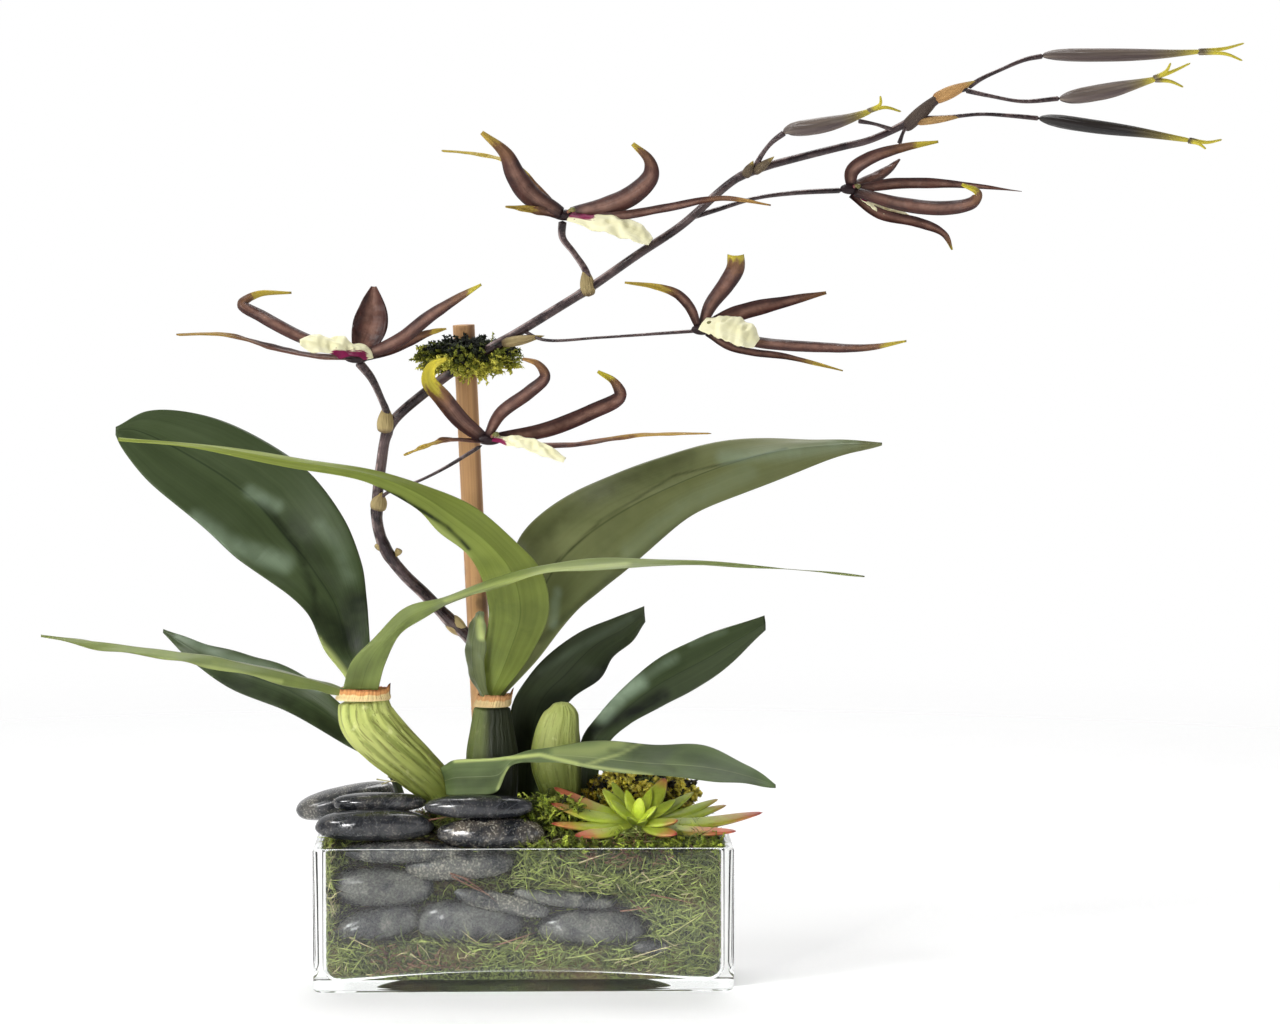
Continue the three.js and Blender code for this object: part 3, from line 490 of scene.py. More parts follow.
def effect(name, inputs, outputs, build):
    """A shader node group, built once: inputs gives its numbers' names and first values, and build
    gets its tree and input wires and returns the wires of its outputs."""
    made = bpy.data.node_groups.get(name)
    if made:
        return made
    made = bpy.data.node_groups.new(name, "ShaderNodeTree")
    for label, value in inputs.items():
        made.interface.new_socket(label, in_out="INPUT", socket_type="NodeSocketFloat").default_value = value
    for label in outputs:
        made.interface.new_socket(label, in_out="OUTPUT", socket_type="NodeSocketFloat")
    start, end = made.nodes.new("NodeGroupInput"), made.nodes.new("NodeGroupOutput")
    for index, wire in enumerate(build(made, outlets(start))):
        connect(wire, end.inputs[index])
    return made


def use(tree, group, inputs):
    """Places a node group and returns its outputs."""
    return put(tree, "Group", inputs, node_tree=group)


def streaks_on(tree, lines, breaks, wander):
    """Fine lines that run along a grown surface, from its own map, and a slower variation."""
    def build(tree, given):
        across, along = own_map(tree)
        across = across * given["Lines"] + cloud(object_place(tree), 60) * given["Wander"]
        along = along * given["Breaks"]
        fine = cloud(put(tree, "CombineXYZ", {0: across, 1: along})[0], 1, 4)
        wide = cloud(put(tree, "CombineXYZ", {0: across * 0.22, 1: along, 2: 7})[0], 1, 2)
        return between(fine, 0.3, 0.7), between(wide, 0.32, 0.68)

    group = effect("lengthwise_streaks", {"Lines": 60.0, "Breaks": 2.0, "Wander": 1.5}, ("Fine", "Wide"), build)
    return use(tree, group, {"Lines": lines, "Breaks": breaks, "Wander": wander})


def places_on(tree, rib_width, edge_width):
    """Where a point lies on a blade: across it, along it, on its under side, near the midrib
    and near the edge."""
    def build(tree, given):
        turn, along = own_map(tree)
        across = 1 - abs(turn * 2 - 1)
        under = calc("GREATER_THAN", turn, 0.5)
        off = abs(across * 2 - 1)
        rib = 1 - between(off, 0, given["Rib width"])
        edge = between(off, 1 - given["Edge width"], 1)
        return across, along, under, rib, edge

    labels = ("Across", "Along", "Under", "Rib", "Edge")
    group = effect("blade_places", {"Rib width": 0.06, "Edge width": 0.08}, labels, build)
    return use(tree, group, {"Rib width": rib_width, "Edge width": edge_width})


def blotches_on(tree, scale):
    """Soft cloudy variation over a piece."""
    def build(tree, given):
        large = cloud(object_place(tree), given["Scale"], 2, 0.6)
        small = cloud(object_place(tree), given["Scale"] * 7, 3)
        return (between(large * 0.7 + small * 0.3, 0.36, 0.64),)

    return use(tree, effect("cloudy_blotches", {"Scale": 20.0}, ("Value",), build), {"Scale": scale})["Value"]


# ---------------- vase


def glass_material(settings):
    material, tree, shader = new_material("vase_glass")
    wash = cloud(object_place(tree), 9)
    feed(shader, Base_Color=settings.tint, Roughness=0, Transmission_Weight=1, IOR=1.48,
         Normal=relief(wash, 0.0004, 0.12))
    clear = put(tree, "BsdfTransparent", {"Color": (250, 252, 251)})
    shadow = put(tree, "LightPath")["Is Shadow Ray"]
    both = put(tree, "MixShader", {0: shadow, 1: Wire(shader.outputs[0]), 2: clear[0]})
    connect(both[0], tree.nodes["Material Output"].inputs["Surface"])
    return material


FLOOR_REACH = 143  # mm from the middle of the inside floor to its end
FRONT_BEND = 0.4  # share of the floor's rounding that is left at the front and back walls


def floor_height(x):
    """Height in mm of the vase's inside floor at x: it is a little lower towards both ends."""
    settings = bpy.context.scene.orchid_vase
    return settings.base / MM + 1 - settings.dip / MM * abs(x / FLOOR_REACH) ** 2.2


class ORCHID_OT_vase(bpy.types.Operator):
    """Makes the rectangular glass vase with its polished rim and thick base"""
    bl_idname = "orchid.vase"
    bl_label = "Glass vase"

    ARC = 10  # steps round an upright corner
    ALONG = 14  # steps along a straight side
    FOOT = 0.003  # rounding of the lower edge
    INNER_CORNER = 0.006
    STEPS = 8  # over the rim, and from the walls to the floor

    def ring(self, half_x, half_y, radius, z):
        points = []
        signs = ((1, 1), (-1, 1), (-1, -1), (1, -1))
        for quarter, (sx, sy) in enumerate(signs):
            for step in range(self.ARC + 1):
                angle = (quarter + step / self.ARC) * math.pi / 2
                points.append((
                    sx * (half_x - radius) + radius * math.cos(angle),
                    sy * (half_y - radius) + radius * math.sin(angle), z,
                ))
            start, (ex, ey) = points[-1], signs[(quarter + 1) % 4]
            turned = (quarter + 1) * math.pi / 2
            end = (ex * (half_x - radius) + radius * math.cos(turned),
                   ey * (half_y - radius) + radius * math.sin(turned))
            for step in range(1, self.ALONG):
                share = step / self.ALONG
                points.append((start[0] + (end[0] - start[0]) * share, start[1] + (end[1] - start[1]) * share, z))
        return points

    def hollow(self, piece, half_x, half_y, depth):
        """Cuts the shallow dome out of the underside."""
        deselect()
        sink = 0.002
        bpy.ops.mesh.primitive_uv_sphere_add(
            segments=128, ring_count=48, location=(0, 0, -sink), scale=(half_x, half_y, depth + sink))
        cutter = bpy.context.object
        cut = piece.modifiers.new("hollow", "BOOLEAN")
        cut.operation, cut.object, cut.solver = "DIFFERENCE", cutter, "EXACT"
        bpy.context.view_layer.objects.active = piece
        bpy.ops.object.modifier_apply(modifier=cut.name)
        bpy.data.objects.remove(cutter)

    def execute(self, context):
        settings = context.scene.orchid_vase
        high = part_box("vase")[1]
        half_x, half_y, top = high.x, high.y, high.z
        wall, corner, rim = settings.wall, settings.corner, settings.rim
        rings, foot = [], self.FOOT
        for step in range(5):
            angle = step / 4 * math.pi / 2
            inset, lift = foot * (1 - math.sin(angle)), foot * (1 - math.cos(angle))
            rings.append(self.ring(half_x - inset, half_y - inset, corner - inset, lift))
        for step in range(self.STEPS + 1):
            angle = step / self.STEPS * math.pi
            inset = rim * (1 - math.cos(angle)) * wall / (2 * rim)
            rounding = corner + (self.INNER_CORNER - corner) * step / self.STEPS
            rings.append(self.ring(half_x - inset, half_y - inset, rounding, top - rim + rim * math.sin(angle)))
        for step in range(self.STEPS + 1):
            angle = step / self.STEPS * math.pi / 2
            drawn, lift = settings.bowl * (1 - math.cos(angle)), settings.bowl * (1 - math.sin(angle))
            level = self.ring(half_x - wall - drawn, half_y - wall - drawn * FRONT_BEND, self.INNER_CORNER, lift)
            rings.append([(x, y, z + floor_height(x / MM) * MM) for x, y, z in level])
        for drawn in (0.016, 0.026, 0.035):
            size_y = half_y - wall - drawn
            level = self.ring(half_x - wall - drawn, size_y, min(self.INNER_CORNER, size_y * 0.5), 0)
            rings.append([(x, y, floor_height(x / MM) * MM) for x, y, z in level])
        size = len(rings[0])
        points = [point for ring in rings for point in ring]
        faces = [
            (row * size + side, row * size + (side + 1) % size,
             (row + 1) * size + (side + 1) % size, (row + 1) * size + side)
            for row in range(len(rings) - 1) for side in range(size)
        ]
        faces += [tuple(range(size)), tuple((len(rings) - 1) * size + side for side in range(size))]
        mesh = bpy.data.meshes.new("vase_glass")
        mesh.from_pydata(points, [], faces)
        piece = bpy.data.objects.new("vase_glass", mesh)
        context.collection.objects.link(piece)
        deselect()
        piece.select_set(True)
        seal(piece)
        self.hollow(piece, half_x - 0.043, half_y - 0.011, settings.recess)
        deselect()
        piece.select_set(True)
        bpy.ops.object.shade_smooth_by_angle(angle=math.radians(28))
        finish_piece(piece, glass_material(settings), "vase")
        return {"FINISHED"}


# ---------------- pebbles

# Half length, half depth, half height, tilt in degrees and how mottled each stone is.
STONES = {
    1: ((32, 12, 12), 14, 0.25), 2: ((39, 13, 12.5), 0, 0.3), 3: ((35, 6, 7), -12, 0.9),
    4: ((39, 14, 15), -3, 0.1), 5: ((13, 5, 4.5), 0, 0.5), 6: ((37, 10, 6.5), -6, 0.3),
    7: ((38, 13, 13), 0, 0.2), 8: ((40, 11, 9.3), 3, 0.9), 9: ((44, 17, 8.6), 0, 0.8),
    10: ((39.5, 14, 10.8), 0, 1.0), 11: ((42, 17, 11.4), 0, 0.15), 12: ((39, 12.5, 8.4), 0, 0.1),
    13: ((37, 18, 11), 12, 0.6), 14: ((33.5, 12, 7), 0, 0.3),
}
# The middle of each stone, in mm.
STONE_PLACES = {
    1: (-107, -31, 46), 2: (49, -30, 44), 3: (-16, -37.5, 63), 4: (-39, -28, 48), 5: (92, -38, 31),
    6: (31, -33, 66), 7: (-104, -30, 73), 8: (-46, -32, 88), 9: (-88, -26, 99), 10: (-24, -29, 113),
    11: (-109, -26, 119), 12: (-32, -26, 132), 13: (-131, 27, 129.5), 14: (-105, -9, 133.2),
}


def pebble_material(settings):
    material, tree, shader = new_material("polished_pebble")
    place = object_place(tree)
    mottled = noted(tree, "mottled")
    grain = cloud(place, 620, 5)
    patches = cloud(place, 60, 5, 0.6)
    flecks = between(grain, 0.52, 0.62) * between(patches, 0.44, 0.6) * mottled
    veins = abs(cloud(place, 26, 6, 1.5) - 0.5)
    lines = 1 - between(veins, 0, 0.012)
    tone = mixed(between(patches, 0.35, 0.65), (27, 29, 33), settings.body)
    tone = mixed(mottled * between(patches, 0.4, 0.7), tone, (98, 90, 78))
    # Stones behind the glass turn a lighter grey: painted haze of the glass's reflection over them. The same number
    # makes them rougher and flattens their relief.
    hazed = mixed(between(patches, 0.34, 0.66), (48, 49, 52), (104, 104, 100))
    tone = mixed(noted(tree, "dusty") * 0.9, tone, hazed)
    spots = between(grain, 0.58, 0.68) * between(mottled, 0.1, 0.9, 0.1, 0.45)
    tone = mixed(spots, tone, settings.mottle)
    tone = mixed(flecks, tone, settings.mottle)
    tone = mixed(lines * 0.22, tone, (120, 122, 124))
    height = grain * 0.35 + patches
    height = height * between(noted(tree, "dusty"), 0, 1, 0.7, 1)
    matt = noted(tree, "dusty") * 0.1
    feed(shader, Base_Color=tone, Normal=relief(height, 0.0006, 0.5),
         Roughness=between(grain, 0.3, 0.7, 0.08, 0.26) + matt, Specular_IOR_Level=0.62)
    return material


class ORCHID_OT_pebbles(bpy.types.Operator):
    """Lays the polished river pebbles"""
    bl_idname = "orchid.pebbles"
    bl_label = "River pebbles"

    def execute(self, context):
        settings = context.scene.orchid_stones
        material = pebble_material(settings)
        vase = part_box("vase")[1] / MM
        rim, front = vase.z, -vase.y + context.scene.orchid_vase.wall / MM + 0.3
        for number, (half, tilt, mottled) in STONES.items():
            centre = np.array(STONE_PLACES[number], float)
            deselect()
            bpy.ops.mesh.primitive_uv_sphere_add(segments=48, ring_count=28, radius=1)
            piece = context.object
            piece.name = piece.data.name = f"pebble_{number}_stone"
            way = np.array([vertex.co.normalized()[:] for vertex in piece.data.vertices])
            swell = np.array([
                noise.noise(Vector(spot) * 0.9 + Vector((number * 3.7, 0, 0)))
                + 0.35 * noise.noise(Vector(spot) * 2.1 + Vector((0, number * 5.3, 0))) for spot in way
            ])
            blunt = (np.abs(way) ** settings.bluntness).sum(axis=1) ** (-1 / settings.bluntness)
            place = way * half * (blunt * (1 + settings.unevenness * swell))[:, None]
            slope = math.radians(tilt)
            turned = np.stack([
                place[:, 0] * math.cos(slope) - place[:, 2] * math.sin(slope), place[:, 1],
                place[:, 0] * math.sin(slope) + place[:, 2] * math.cos(slope),
            ], axis=1) + centre
            if centre[2] < rim:
                turned[:, 1] = np.maximum(turned[:, 1], front)
            piece.data.vertices.foreach_set("co", (turned * MM).ravel())
            bpy.ops.object.shade_smooth()
            # Stones whose tops stay below 4 mm over the rim stand behind the glass and take its painted haze; stone 13
            # takes half of it.
            mark(piece, mottled=mottled, dusty=0.5 if number == 13 else float(centre[2] + half[2] < rim + 4))
            finish_piece(piece, material, f"pebble_{number}")
        return {"FINISHED"}


# ---------------- moss


LEAFLET_LEAN = 0.95  # in radians, away from the axis


def strand_template(rings):
    """A three-sided cone of unit length, cut into rings so that it can bend."""
    deselect()
    bpy.ops.mesh.primitive_cone_add(vertices=3, radius1=1, radius2=0, depth=1, location=(0, 0, 0.5))
    bpy.ops.object.transform_apply(location=True, rotation=False, scale=False)
    bpy.ops.object.mode_set(mode="EDIT")
    for ring in range(1, rings):
        bpy.ops.mesh.select_all(action="SELECT")
        bpy.ops.mesh.bisect(plane_co=(0, 0, ring / rings), plane_no=(0, 0, 1))
    bpy.ops.object.mode_set(mode="OBJECT")
    return take_template()


def sprig_template(leaflets, spread, breadth=1.0):
    """A thin axis with short pointed leaflets standing off it all round."""
    deselect()
    parts = []
    bpy.ops.mesh.primitive_cone_add(vertices=3, radius1=1, radius2=0.3, depth=1, location=(0, 0, 0.5))
    parts.append(bpy.context.object)
    for index in range(leaflets):
        height, turn = (index + 0.6) / leaflets, index * 2.4
        bpy.ops.mesh.primitive_cone_add(vertices=3, radius1=0.8, radius2=0, depth=1)
        leaflet = bpy.context.object
        size = spread * (1 - 0.55 * height)
        for vertex in leaflet.data.vertices:
            x, y, z = vertex.co.x, vertex.co.y * breadth, vertex.co.z + 0.5
            outward = z * size * math.sin(LEAFLET_LEAN) + x * 0.5
            vertex.co = (
                outward * math.cos(turn) - y * math.sin(turn),
                outward * math.sin(turn) + y * math.cos(turn),
                min(height + z * 0.16, 1.15) + x * 0.02,
            )
        parts.append(leaflet)
    join("sprig", parts)
    bpy.ops.object.transform_apply(location=True, rotation=False, scale=False)
    return take_template()


def take_template():
    """Reads the active object's points and faces and clears it away."""
    piece = bpy.context.object
    mesh = piece.data
    points = np.array([vertex.co[:] for vertex in mesh.vertices])
    faces = [tuple(face.vertices) for face in mesh.polygons]
    bpy.data.objects.remove(piece)
    bpy.data.meshes.remove(mesh)
    return points, faces


def scatter(node, count, draw):
    """Places on a CAD node's surface, evenly spread, with the normals there, in mm."""
    mesh = frame["nodes"][node].data
    mesh.calc_loop_triangles()
    corners = np.array([triangle.vertices[:] for triangle in mesh.loop_triangles])
    points = np.array([vertex.co[:] for vertex in mesh.vertices]) / MM
    a, b, c = (points[corners[:, index]] for index in range(3))
    normals = np.cross(b - a, c - a)
    areas = np.linalg.norm(normals, axis=1)
    chosen = draw.choice(len(areas), count, p=areas / areas.sum())
    first, second = np.sqrt(draw.random(count))[:, None], draw.random(count)[:, None]
    places = (1 - first) * a[chosen] + first * (1 - second) * b[chosen] + first * second * c[chosen]
    return places, unit(normals[chosen])


def bend_along(template, roots, lead, curl, radii, stay_in=None):
    """Copies the template along a bent path from each root: lead is the way and length at the
    root, curl is how far the tip is turned aside."""
    points, faces = template
    z = points[:, 2]
    path = roots[:, None] + lead[:, None] * z[None, :, None] + curl[:, None] * (z**2)[None, :, None]
    way = unit(lead[:, None] + 2 * curl[:, None] * z[None, :, None])
    aside = unit(np.cross(way, np.array([0.31, 0.52, 0.79])))
    third = np.cross(way, aside)
    taper = radii[:, None, None]
    placed = path + aside * points[None, :, 0:1] * taper + third * points[None, :, 1:2] * taper
    if stay_in is not None:
        placed = stay_in(placed)
    starts = range(0, len(roots) * len(points), len(points))
    every = [tuple(corner + start for corner in face) for start in starts for face in faces]
    return placed.reshape(-1, 3), every, len(points)


def strand_piece(name, template, roots, lead, curl, radii, tint, depth=0.0, stay_in=None):
    """One mesh of many strands, each with its own tint from 0 to 1 and depth from 0 to 1."""
    depth = np.broadcast_to(depth, len(roots))
    places, faces, each = bend_along(template, roots, lead, curl, radii, stay_in)
    mesh = bpy.data.meshes.new(name)
    mesh.from_pydata((places * MM).tolist(), [], faces)
    piece = bpy.data.objects.new(name, mesh)
    bpy.context.collection.objects.link(piece)
    heights = np.tile(template[0][:, 2], len(roots))
    mark(piece, tint=np.repeat(tint, each), height=heights, depth=np.repeat(depth, each))
    for polygon in mesh.polygons:
        polygon.use_smooth = True
    return piece


def inside_glass(points):
    """Moves points that would stand in the glass back inside it."""
    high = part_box("vase")[1]
    settings = bpy.context.scene.orchid_vase
    half = np.array([high.x, high.y]) / MM - settings.wall / MM - CLEARANCE
    bend, shares = settings.bowl / MM, np.array((1, FRONT_BEND, 1))
    below_rim = points[..., 2] < high.z / MM + 1
    level = floor_height(points[..., 0]) + 0.3
    over = np.concatenate([
        np.maximum(np.abs(points[..., :2]) - half + bend * shares[:2], 0),
        np.maximum(level + bend - points[..., 2], 0)[..., None],
    ], axis=-1) / shares
    reach = np.linalg.norm(over, axis=-1, keepdims=True)
    back = over * (1 - np.minimum(1, bend / np.maximum(reach, 1e-6))) * shares
    way = np.concatenate([-np.sign(points[..., :2]), np.ones_like(points[..., :1])], axis=-1)
    return points + np.where(below_rim[..., None], way * back, 0)


def settled(points, foot):
    """Lets down points near the moss's foot until they lie on the vase's floor."""
    sunk = foot - floor_height(points[:, 0])
    low = np.clip(1 - (points[:, 2:3] - foot) / 25, 0, 1)
    return points - low * sunk[:, None] * (0, 0, 1)


def clear_of_stones(points, margin=0.97):
    """True for the points that lie in no pebble."""
    free = np.ones(len(points), bool)
    for number, (half, tilt, _) in STONES.items():
        slope = math.radians(tilt)
        off = points - np.array(STONE_PLACES[number])
        along = off[:, 0] * math.cos(slope) + off[:, 2] * math.sin(slope)
        up = off[:, 2] * math.cos(slope) - off[:, 0] * math.sin(slope)
        free &= (along / half[0]) ** 2 + (off[:, 1] / half[1]) ** 2 + (up / half[2]) ** 2 > margin
    return free


def moss_material(name, stops, base_shade):
    """Moss strands: the tint picks the colour, and painted shade darkens the foot of each strand and each strand that
    lies deeper.
    """
    material, tree, shader = new_material(name)
    ramp = put(tree, "ValToRGB", {0: noted(tree, "tint")})
    elements = ramp[0].socket.node.color_ramp.elements
    while len(elements) < len(stops):
        elements.new(0.5)
    for element, (position, rgb) in zip(elements, stops):
        element.position, element.color = position, ink(rgb)
    # Painted shade: the deeper a strand lies and the nearer a point is to its foot, the darker it is.
    sunk = calc("MAXIMUM", 0.1, 1 - noted(tree, "depth") * 0.72)
    foot = between(noted(tree, "height"), 0, 0.6, base_shade, 1) * sunk
    grain = cloud(object_place(tree), 900, 2)
    shade = foot * between(grain, 0.3, 0.7, 0.75, 1.15)
    tone = mixed(1, ramp[0], put(tree, "CombineColor", {0: shade, 1: shade, 2: shade})[0], "MULTIPLY")
    feed(shader, Base_Color=tone, Roughness=between(grain, 0.3, 0.7, 0.5, 0.75), Specular_IOR_Level=0.35)
    return material


def moss_core_material():
    material, tree, shader = new_material("moss_core")
    place = object_place(tree)
    tangle = cloud(place, 240, 6, 2.5)
    region = cloud(place, 28, 3)
    tone = mixed(between(tangle, 0.42, 0.62), (34, 38, 18), (118, 130, 68))
    tone = mixed(between(region, 0.5, 0.66, 0, 0.5), tone, (112, 84, 60))
    feed(shader, Base_Color=tone, Roughness=0.95, Normal=relief(tangle, 0.002, 0.8))
    return material


def moss_stops(settings):
    return [(0, (124, 76, 62)), (0.12, settings.brown), (0.24, settings.deep), (0.42, (142, 158, 84)),
            (0.66, settings.green), (0.86, (206, 216, 130)), (1, settings.straw)]


def shrunk_core(name, node, inset):
    """A copy of a CAD node drawn in by inset, for what grows on it to stand in."""
    source = frame["nodes"][node]
    deselect()
    source.select_set(True)
    bpy.context.view_layer.objects.active = source
    bpy.ops.object.duplicate()
    piece = bpy.context.object
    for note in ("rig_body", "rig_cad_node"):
        if note in piece:
            del piece[note]
    piece.parent = None
    piece.name = piece.data.name = name
    bpy.ops.object.mode_set(mode="EDIT")
    bpy.ops.mesh.select_all(action="SELECT")
    bpy.ops.mesh.remove_doubles(threshold=SEAM)
    bpy.ops.transform.shrink_fatten(value=-inset)
    bpy.ops.object.mode_set(mode="OBJECT")
    return piece


# Patches seen in the moss: centre x and z, half sizes in mm and the tint there.
MOSS_PATCHES = [
    (25, 88, 52, 17, 0.72), (98, 97, 56, 11, 0.04), (-142, 92, 11, 26, 0.8), (-108, 27, 26, 11, 0.08),
    (-18, 29, 44, 13, 0.72), (-60, 18, 36, 8, 0.08), (85, 63, 22, 8, 0.12), (124, 66, 34, 30, 0.6),
    (95, 30, 46, 12, 0.62), (-140, 62, 10, 10, 1.0), (-128, 24, 14, 12, 0.74), (110, 84, 40, 8, 0.66),
]


def moss_tint(points, draw):
    """Strand colours in patches, with single strands that differ."""
    patch = np.array([noise.noise(Vector(point) * 0.028) for point in points])
    fine = np.array([noise.noise(Vector(point) * 0.12 + Vector((9, 4, 2))) for point in points])
    tint = 0.48 + 0.45 * patch + 0.34 * fine
    for x, z, across, high, wanted in MOSS_PATCHES:
        away = np.hypot((points[:, 0] - x) / across, (points[:, 2] - z) / high)
        weight = np.clip(1.6 - away - 0.9 * fine, 0, 1) * 0.92 * (points[:, 1] < 0)
        tint = tint + (wanted - tint) * weight
    tint = tint + 0.13 * draw.standard_normal(len(points))
    tint = np.where(draw.random(len(points)) < 0.03, 0.98, tint)
    return np.clip(tint, 0, 1)


# Twigs and needles against the front pane: x and z of both ends in mm, and the tint.
PANE_TWIGS = [
    (-52, 84, -24, 70, 0.1), (-44, 83, -18, 64, 0.06), (-53, 86, -36, 81, 0.08), (-126, 40, -104, 30, 1.0),
    (-22, 33, 12, 44, 0.1), (-6, 30, 4, 42, 0.12), (66, 20, 122, 36, 1.0), (72, 17, 108, 31, 0.95),
    (58, 22, 96, 26, 0.9), (30, 24, 60, 30, 0.86), (82, 78, 118, 88, 0.95), (40, 93, 66, 101, 1.0),
    (70, 58, 96, 62, 0.1), (104, 40, 138, 62, 0.9), (92, 70, 128, 62, 0.1),
]
# Twigs on top of the moss: x, y and z of both ends, and the tint.
TOP_TWIGS = [
    (-100, 20, 148, -78, 8, 143, 0.96), (-92, 6, 146, -72, -2, 142, 0.1), (-108, 14, 147, -84, 2, 146, 0.94),
    (-104, 2, 145, -88, 10, 150, 0.98), (-84, 16, 143, -66, 6, 145, 0.12), (-72, -28, 122, -52, -30, 126, 0.1),
]
PANE = -43.4  # depth at which twigs touch the front pane


class ORCHID_OT_moss(bpy.types.Operator):
    """Fills the vase with strands of moss and tops it with leafy sprigs"""
    bl_idname = "orchid.moss"
    bl_label = "Moss"

    def bed(self, settings, draw):
        template = strand_template(2)
        reach, radius = settings.reach / MM, settings.thickness / MM
        roots, normals = scatter("moss_bed", settings.strands, draw)
        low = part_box("moss_bed")[0] / MM
        roots = settled(roots, low.z)
        on_top = (normals[:, 2:3] > 0.5) & (roots[:, 2:3] > MOSS_TOP)
        wild = draw.standard_normal(roots.shape) * np.where(on_top, (1, 1, 1), (1, 1, 0.62))
        tangent = unit(wild - normals * (wild * normals).sum(axis=1, keepdims=True))
        lengths = reach * (0.4 + 0.9 * draw.random(len(roots)))[:, None]
        lead = unit(tangent + normals * np.where(on_top, 0.55, 0.05)) * lengths
        curl = np.cross(normals, tangent) * lengths * draw.uniform(-0.5, 0.5, (len(roots), 1))
        curl -= normals * lengths * np.where(on_top, 0.25, 0.06)
        # Strands sink by their depth, and the moss material darkens the deeper ones as painted shade.
        depth = draw.random(len(roots))
        roots = roots - normals * (0.2 + 3.4 * depth[:, None])
        away = clear_of_stones(roots) & clear_of_stones(roots + lead * 0.5 + curl * 0.25)
        away &= clear_of_stones(roots + lead + curl)
        at_back = (roots[:, 1] > low.y + 20) & ~on_top[:, 0]
        away &= ~(at_back & (draw.random(len(roots)) < 0.6))
        roots, lead, curl, depth = roots[away], lead[away], curl[away], depth[away]
        # Most strands close round the stones get a large depth and a dark tint: painted shade between the stones.
        in_gap = ~clear_of_stones(roots, 1.9) & (draw.random(len(roots)) < 0.8) & (roots[:, 2] > 30)
        depth = np.where(in_gap, 1.35, depth)
        tint = np.where(in_gap, 0.2, moss_tint(roots, draw))
        radii = radius * draw.uniform(0.5, 1.4, len(roots))
        order = np.argsort(roots[:, 1])
        halves = np.array_split(order, max(1, math.ceil(len(order) * STRAND_TRIANGLES / TRIANGLES_A_PIECE)))
        return template, [(roots[h], lead[h], curl[h], radii[h], tint[h], depth[h]) for h in halves]

    def sprigs(self, node, count, draw, size, keep, form=(7, 2.6)):
        template = sprig_template(*form)
        roots, normals = scatter(node, count, draw)
        kept = keep(roots, normals)
        roots, normals = roots[kept], normals[kept]
        lengths = size * draw.uniform(0.6, 1.4, (len(roots), 1))
        tangent = unit(np.cross(normals, draw.standard_normal(roots.shape)))
        lead = unit(tangent + normals * draw.uniform(0.35, 1.1, (len(roots), 1))) * lengths
        curl = tangent * lengths * draw.uniform(-0.5, 0.3, (len(roots), 1))
        return template, roots - normals, lead, curl

    def execute(self, context):
        settings = context.scene.orchid_moss
        draw = np.random.default_rng(7)
        strands = moss_material("moss_strands", moss_stops(settings), 0.55)
        core = shrunk_core("moss_bed_core", "moss_bed", 2.4 * MM)
        points = np.array([vertex.co[:] for vertex in core.data.vertices]) / MM
        points = settled(points, points[:, 2].min()) + (0, 0, 1)
        core.data.vertices.foreach_set("co", (points * MM).ravel())
        finish_piece(core, moss_core_material(), "moss_bed")
        template, groups = self.bed(settings, draw)
        for index, group in enumerate(groups):
            piece = strand_piece(f"moss_bed_strands_{index + 1}", template, *group, stay_in=inside_glass)
            finish_piece(piece, strands)
        sprigs = moss_material("moss_sprigs", [
            (0.0, (54, 56, 20)), (0.5, (146, 168, 50)), (1.0, (220, 234, 92)),
        ], 0.5)
        top = self.sprigs(
            "moss_bed", 9000, draw, 8.0,
            lambda roots, normals: (normals[:, 2] > 0.4) & (roots[:, 2] > MOSS_TOP + 2) & clear_of_stones(roots, 1.05),
        )
        tint = np.clip(moss_tint(top[1], draw) + np.where(top[1][:, 0] > 20, 0.1, -0.25), 0, 1)
        # A random depth darkens each sprig as painted shade.
        piece = strand_piece(
            "moss_bed_sprigs", *top, draw.uniform(0.28, 0.5, len(top[1])), tint, depth=draw.random(len(tint)) * 0.8,
            stay_in=inside_glass,
        )
        finish_piece(piece, sprigs)
        self.fringe(draw, sprigs)
        self.twigs(draw, strands)
        self.cushion(draw)
        frame["nodes"]["root_ball"].data.materials.clear()
        frame["nodes"]["root_ball"].data.materials.append(bark_material())
        return {"FINISHED"}

    def fringe(self, draw, material):
        """Feathery bright moss that stands up along the front rim."""
        rows = (((8, 143), (-43, -24), (99, 105), 520), ((-2, 40), (-26, -8), (104, 136), 300))
        roots = np.vstack([np.stack([draw.uniform(*side, count) for side in sides], axis=1) for *sides, count in rows])
        roots = roots[clear_of_stones(roots, 1.1)]
        lead = unit(draw.standard_normal(roots.shape) * (1, 0.5, 0.35) + (0, -0.25, 0.5))
        lengths = draw.uniform(5, 11, (len(roots), 1))
        curl = draw.standard_normal(roots.shape) * lengths * 0.2
        tint = np.clip(0.62 + 0.25 * draw.standard_normal(len(roots)), 0, 1)
        # A random depth darkens each sprig as painted shade.
        piece = strand_piece(
            "moss_fringe", sprig_template(7, 3.6, 1.9), roots, lead * lengths, curl, draw.uniform(0.8, 1.5, len(roots)),
            tint, depth=draw.random(len(roots)) ** 1.3 * 1.2, stay_in=inside_glass,
        )
        finish_piece(piece, material)

    def twigs(self, draw, material):
        """Single dried twigs and needles that lie in front of the stones and the moss."""
        twigs = [(x, PANE, z, to_x, PANE, to_z, tint) for x, z, to_x, to_z, tint in PANE_TWIGS] + TOP_TWIGS
        ends = np.array([(twig[:3], twig[3:6]) for twig in twigs], float)
        tints = np.array([twig[6] for twig in twigs])
        lead = ends[:, 1] - ends[:, 0]
        curl = draw.standard_normal(lead.shape) * (2.5, 0, 2.5)
        piece = strand_piece(
            "moss_twigs", strand_template(4), ends[:, 0], lead - curl, curl, np.full(len(lead), 0.7), tints,
            stay_in=inside_glass,
        )
        finish_piece(piece, material)

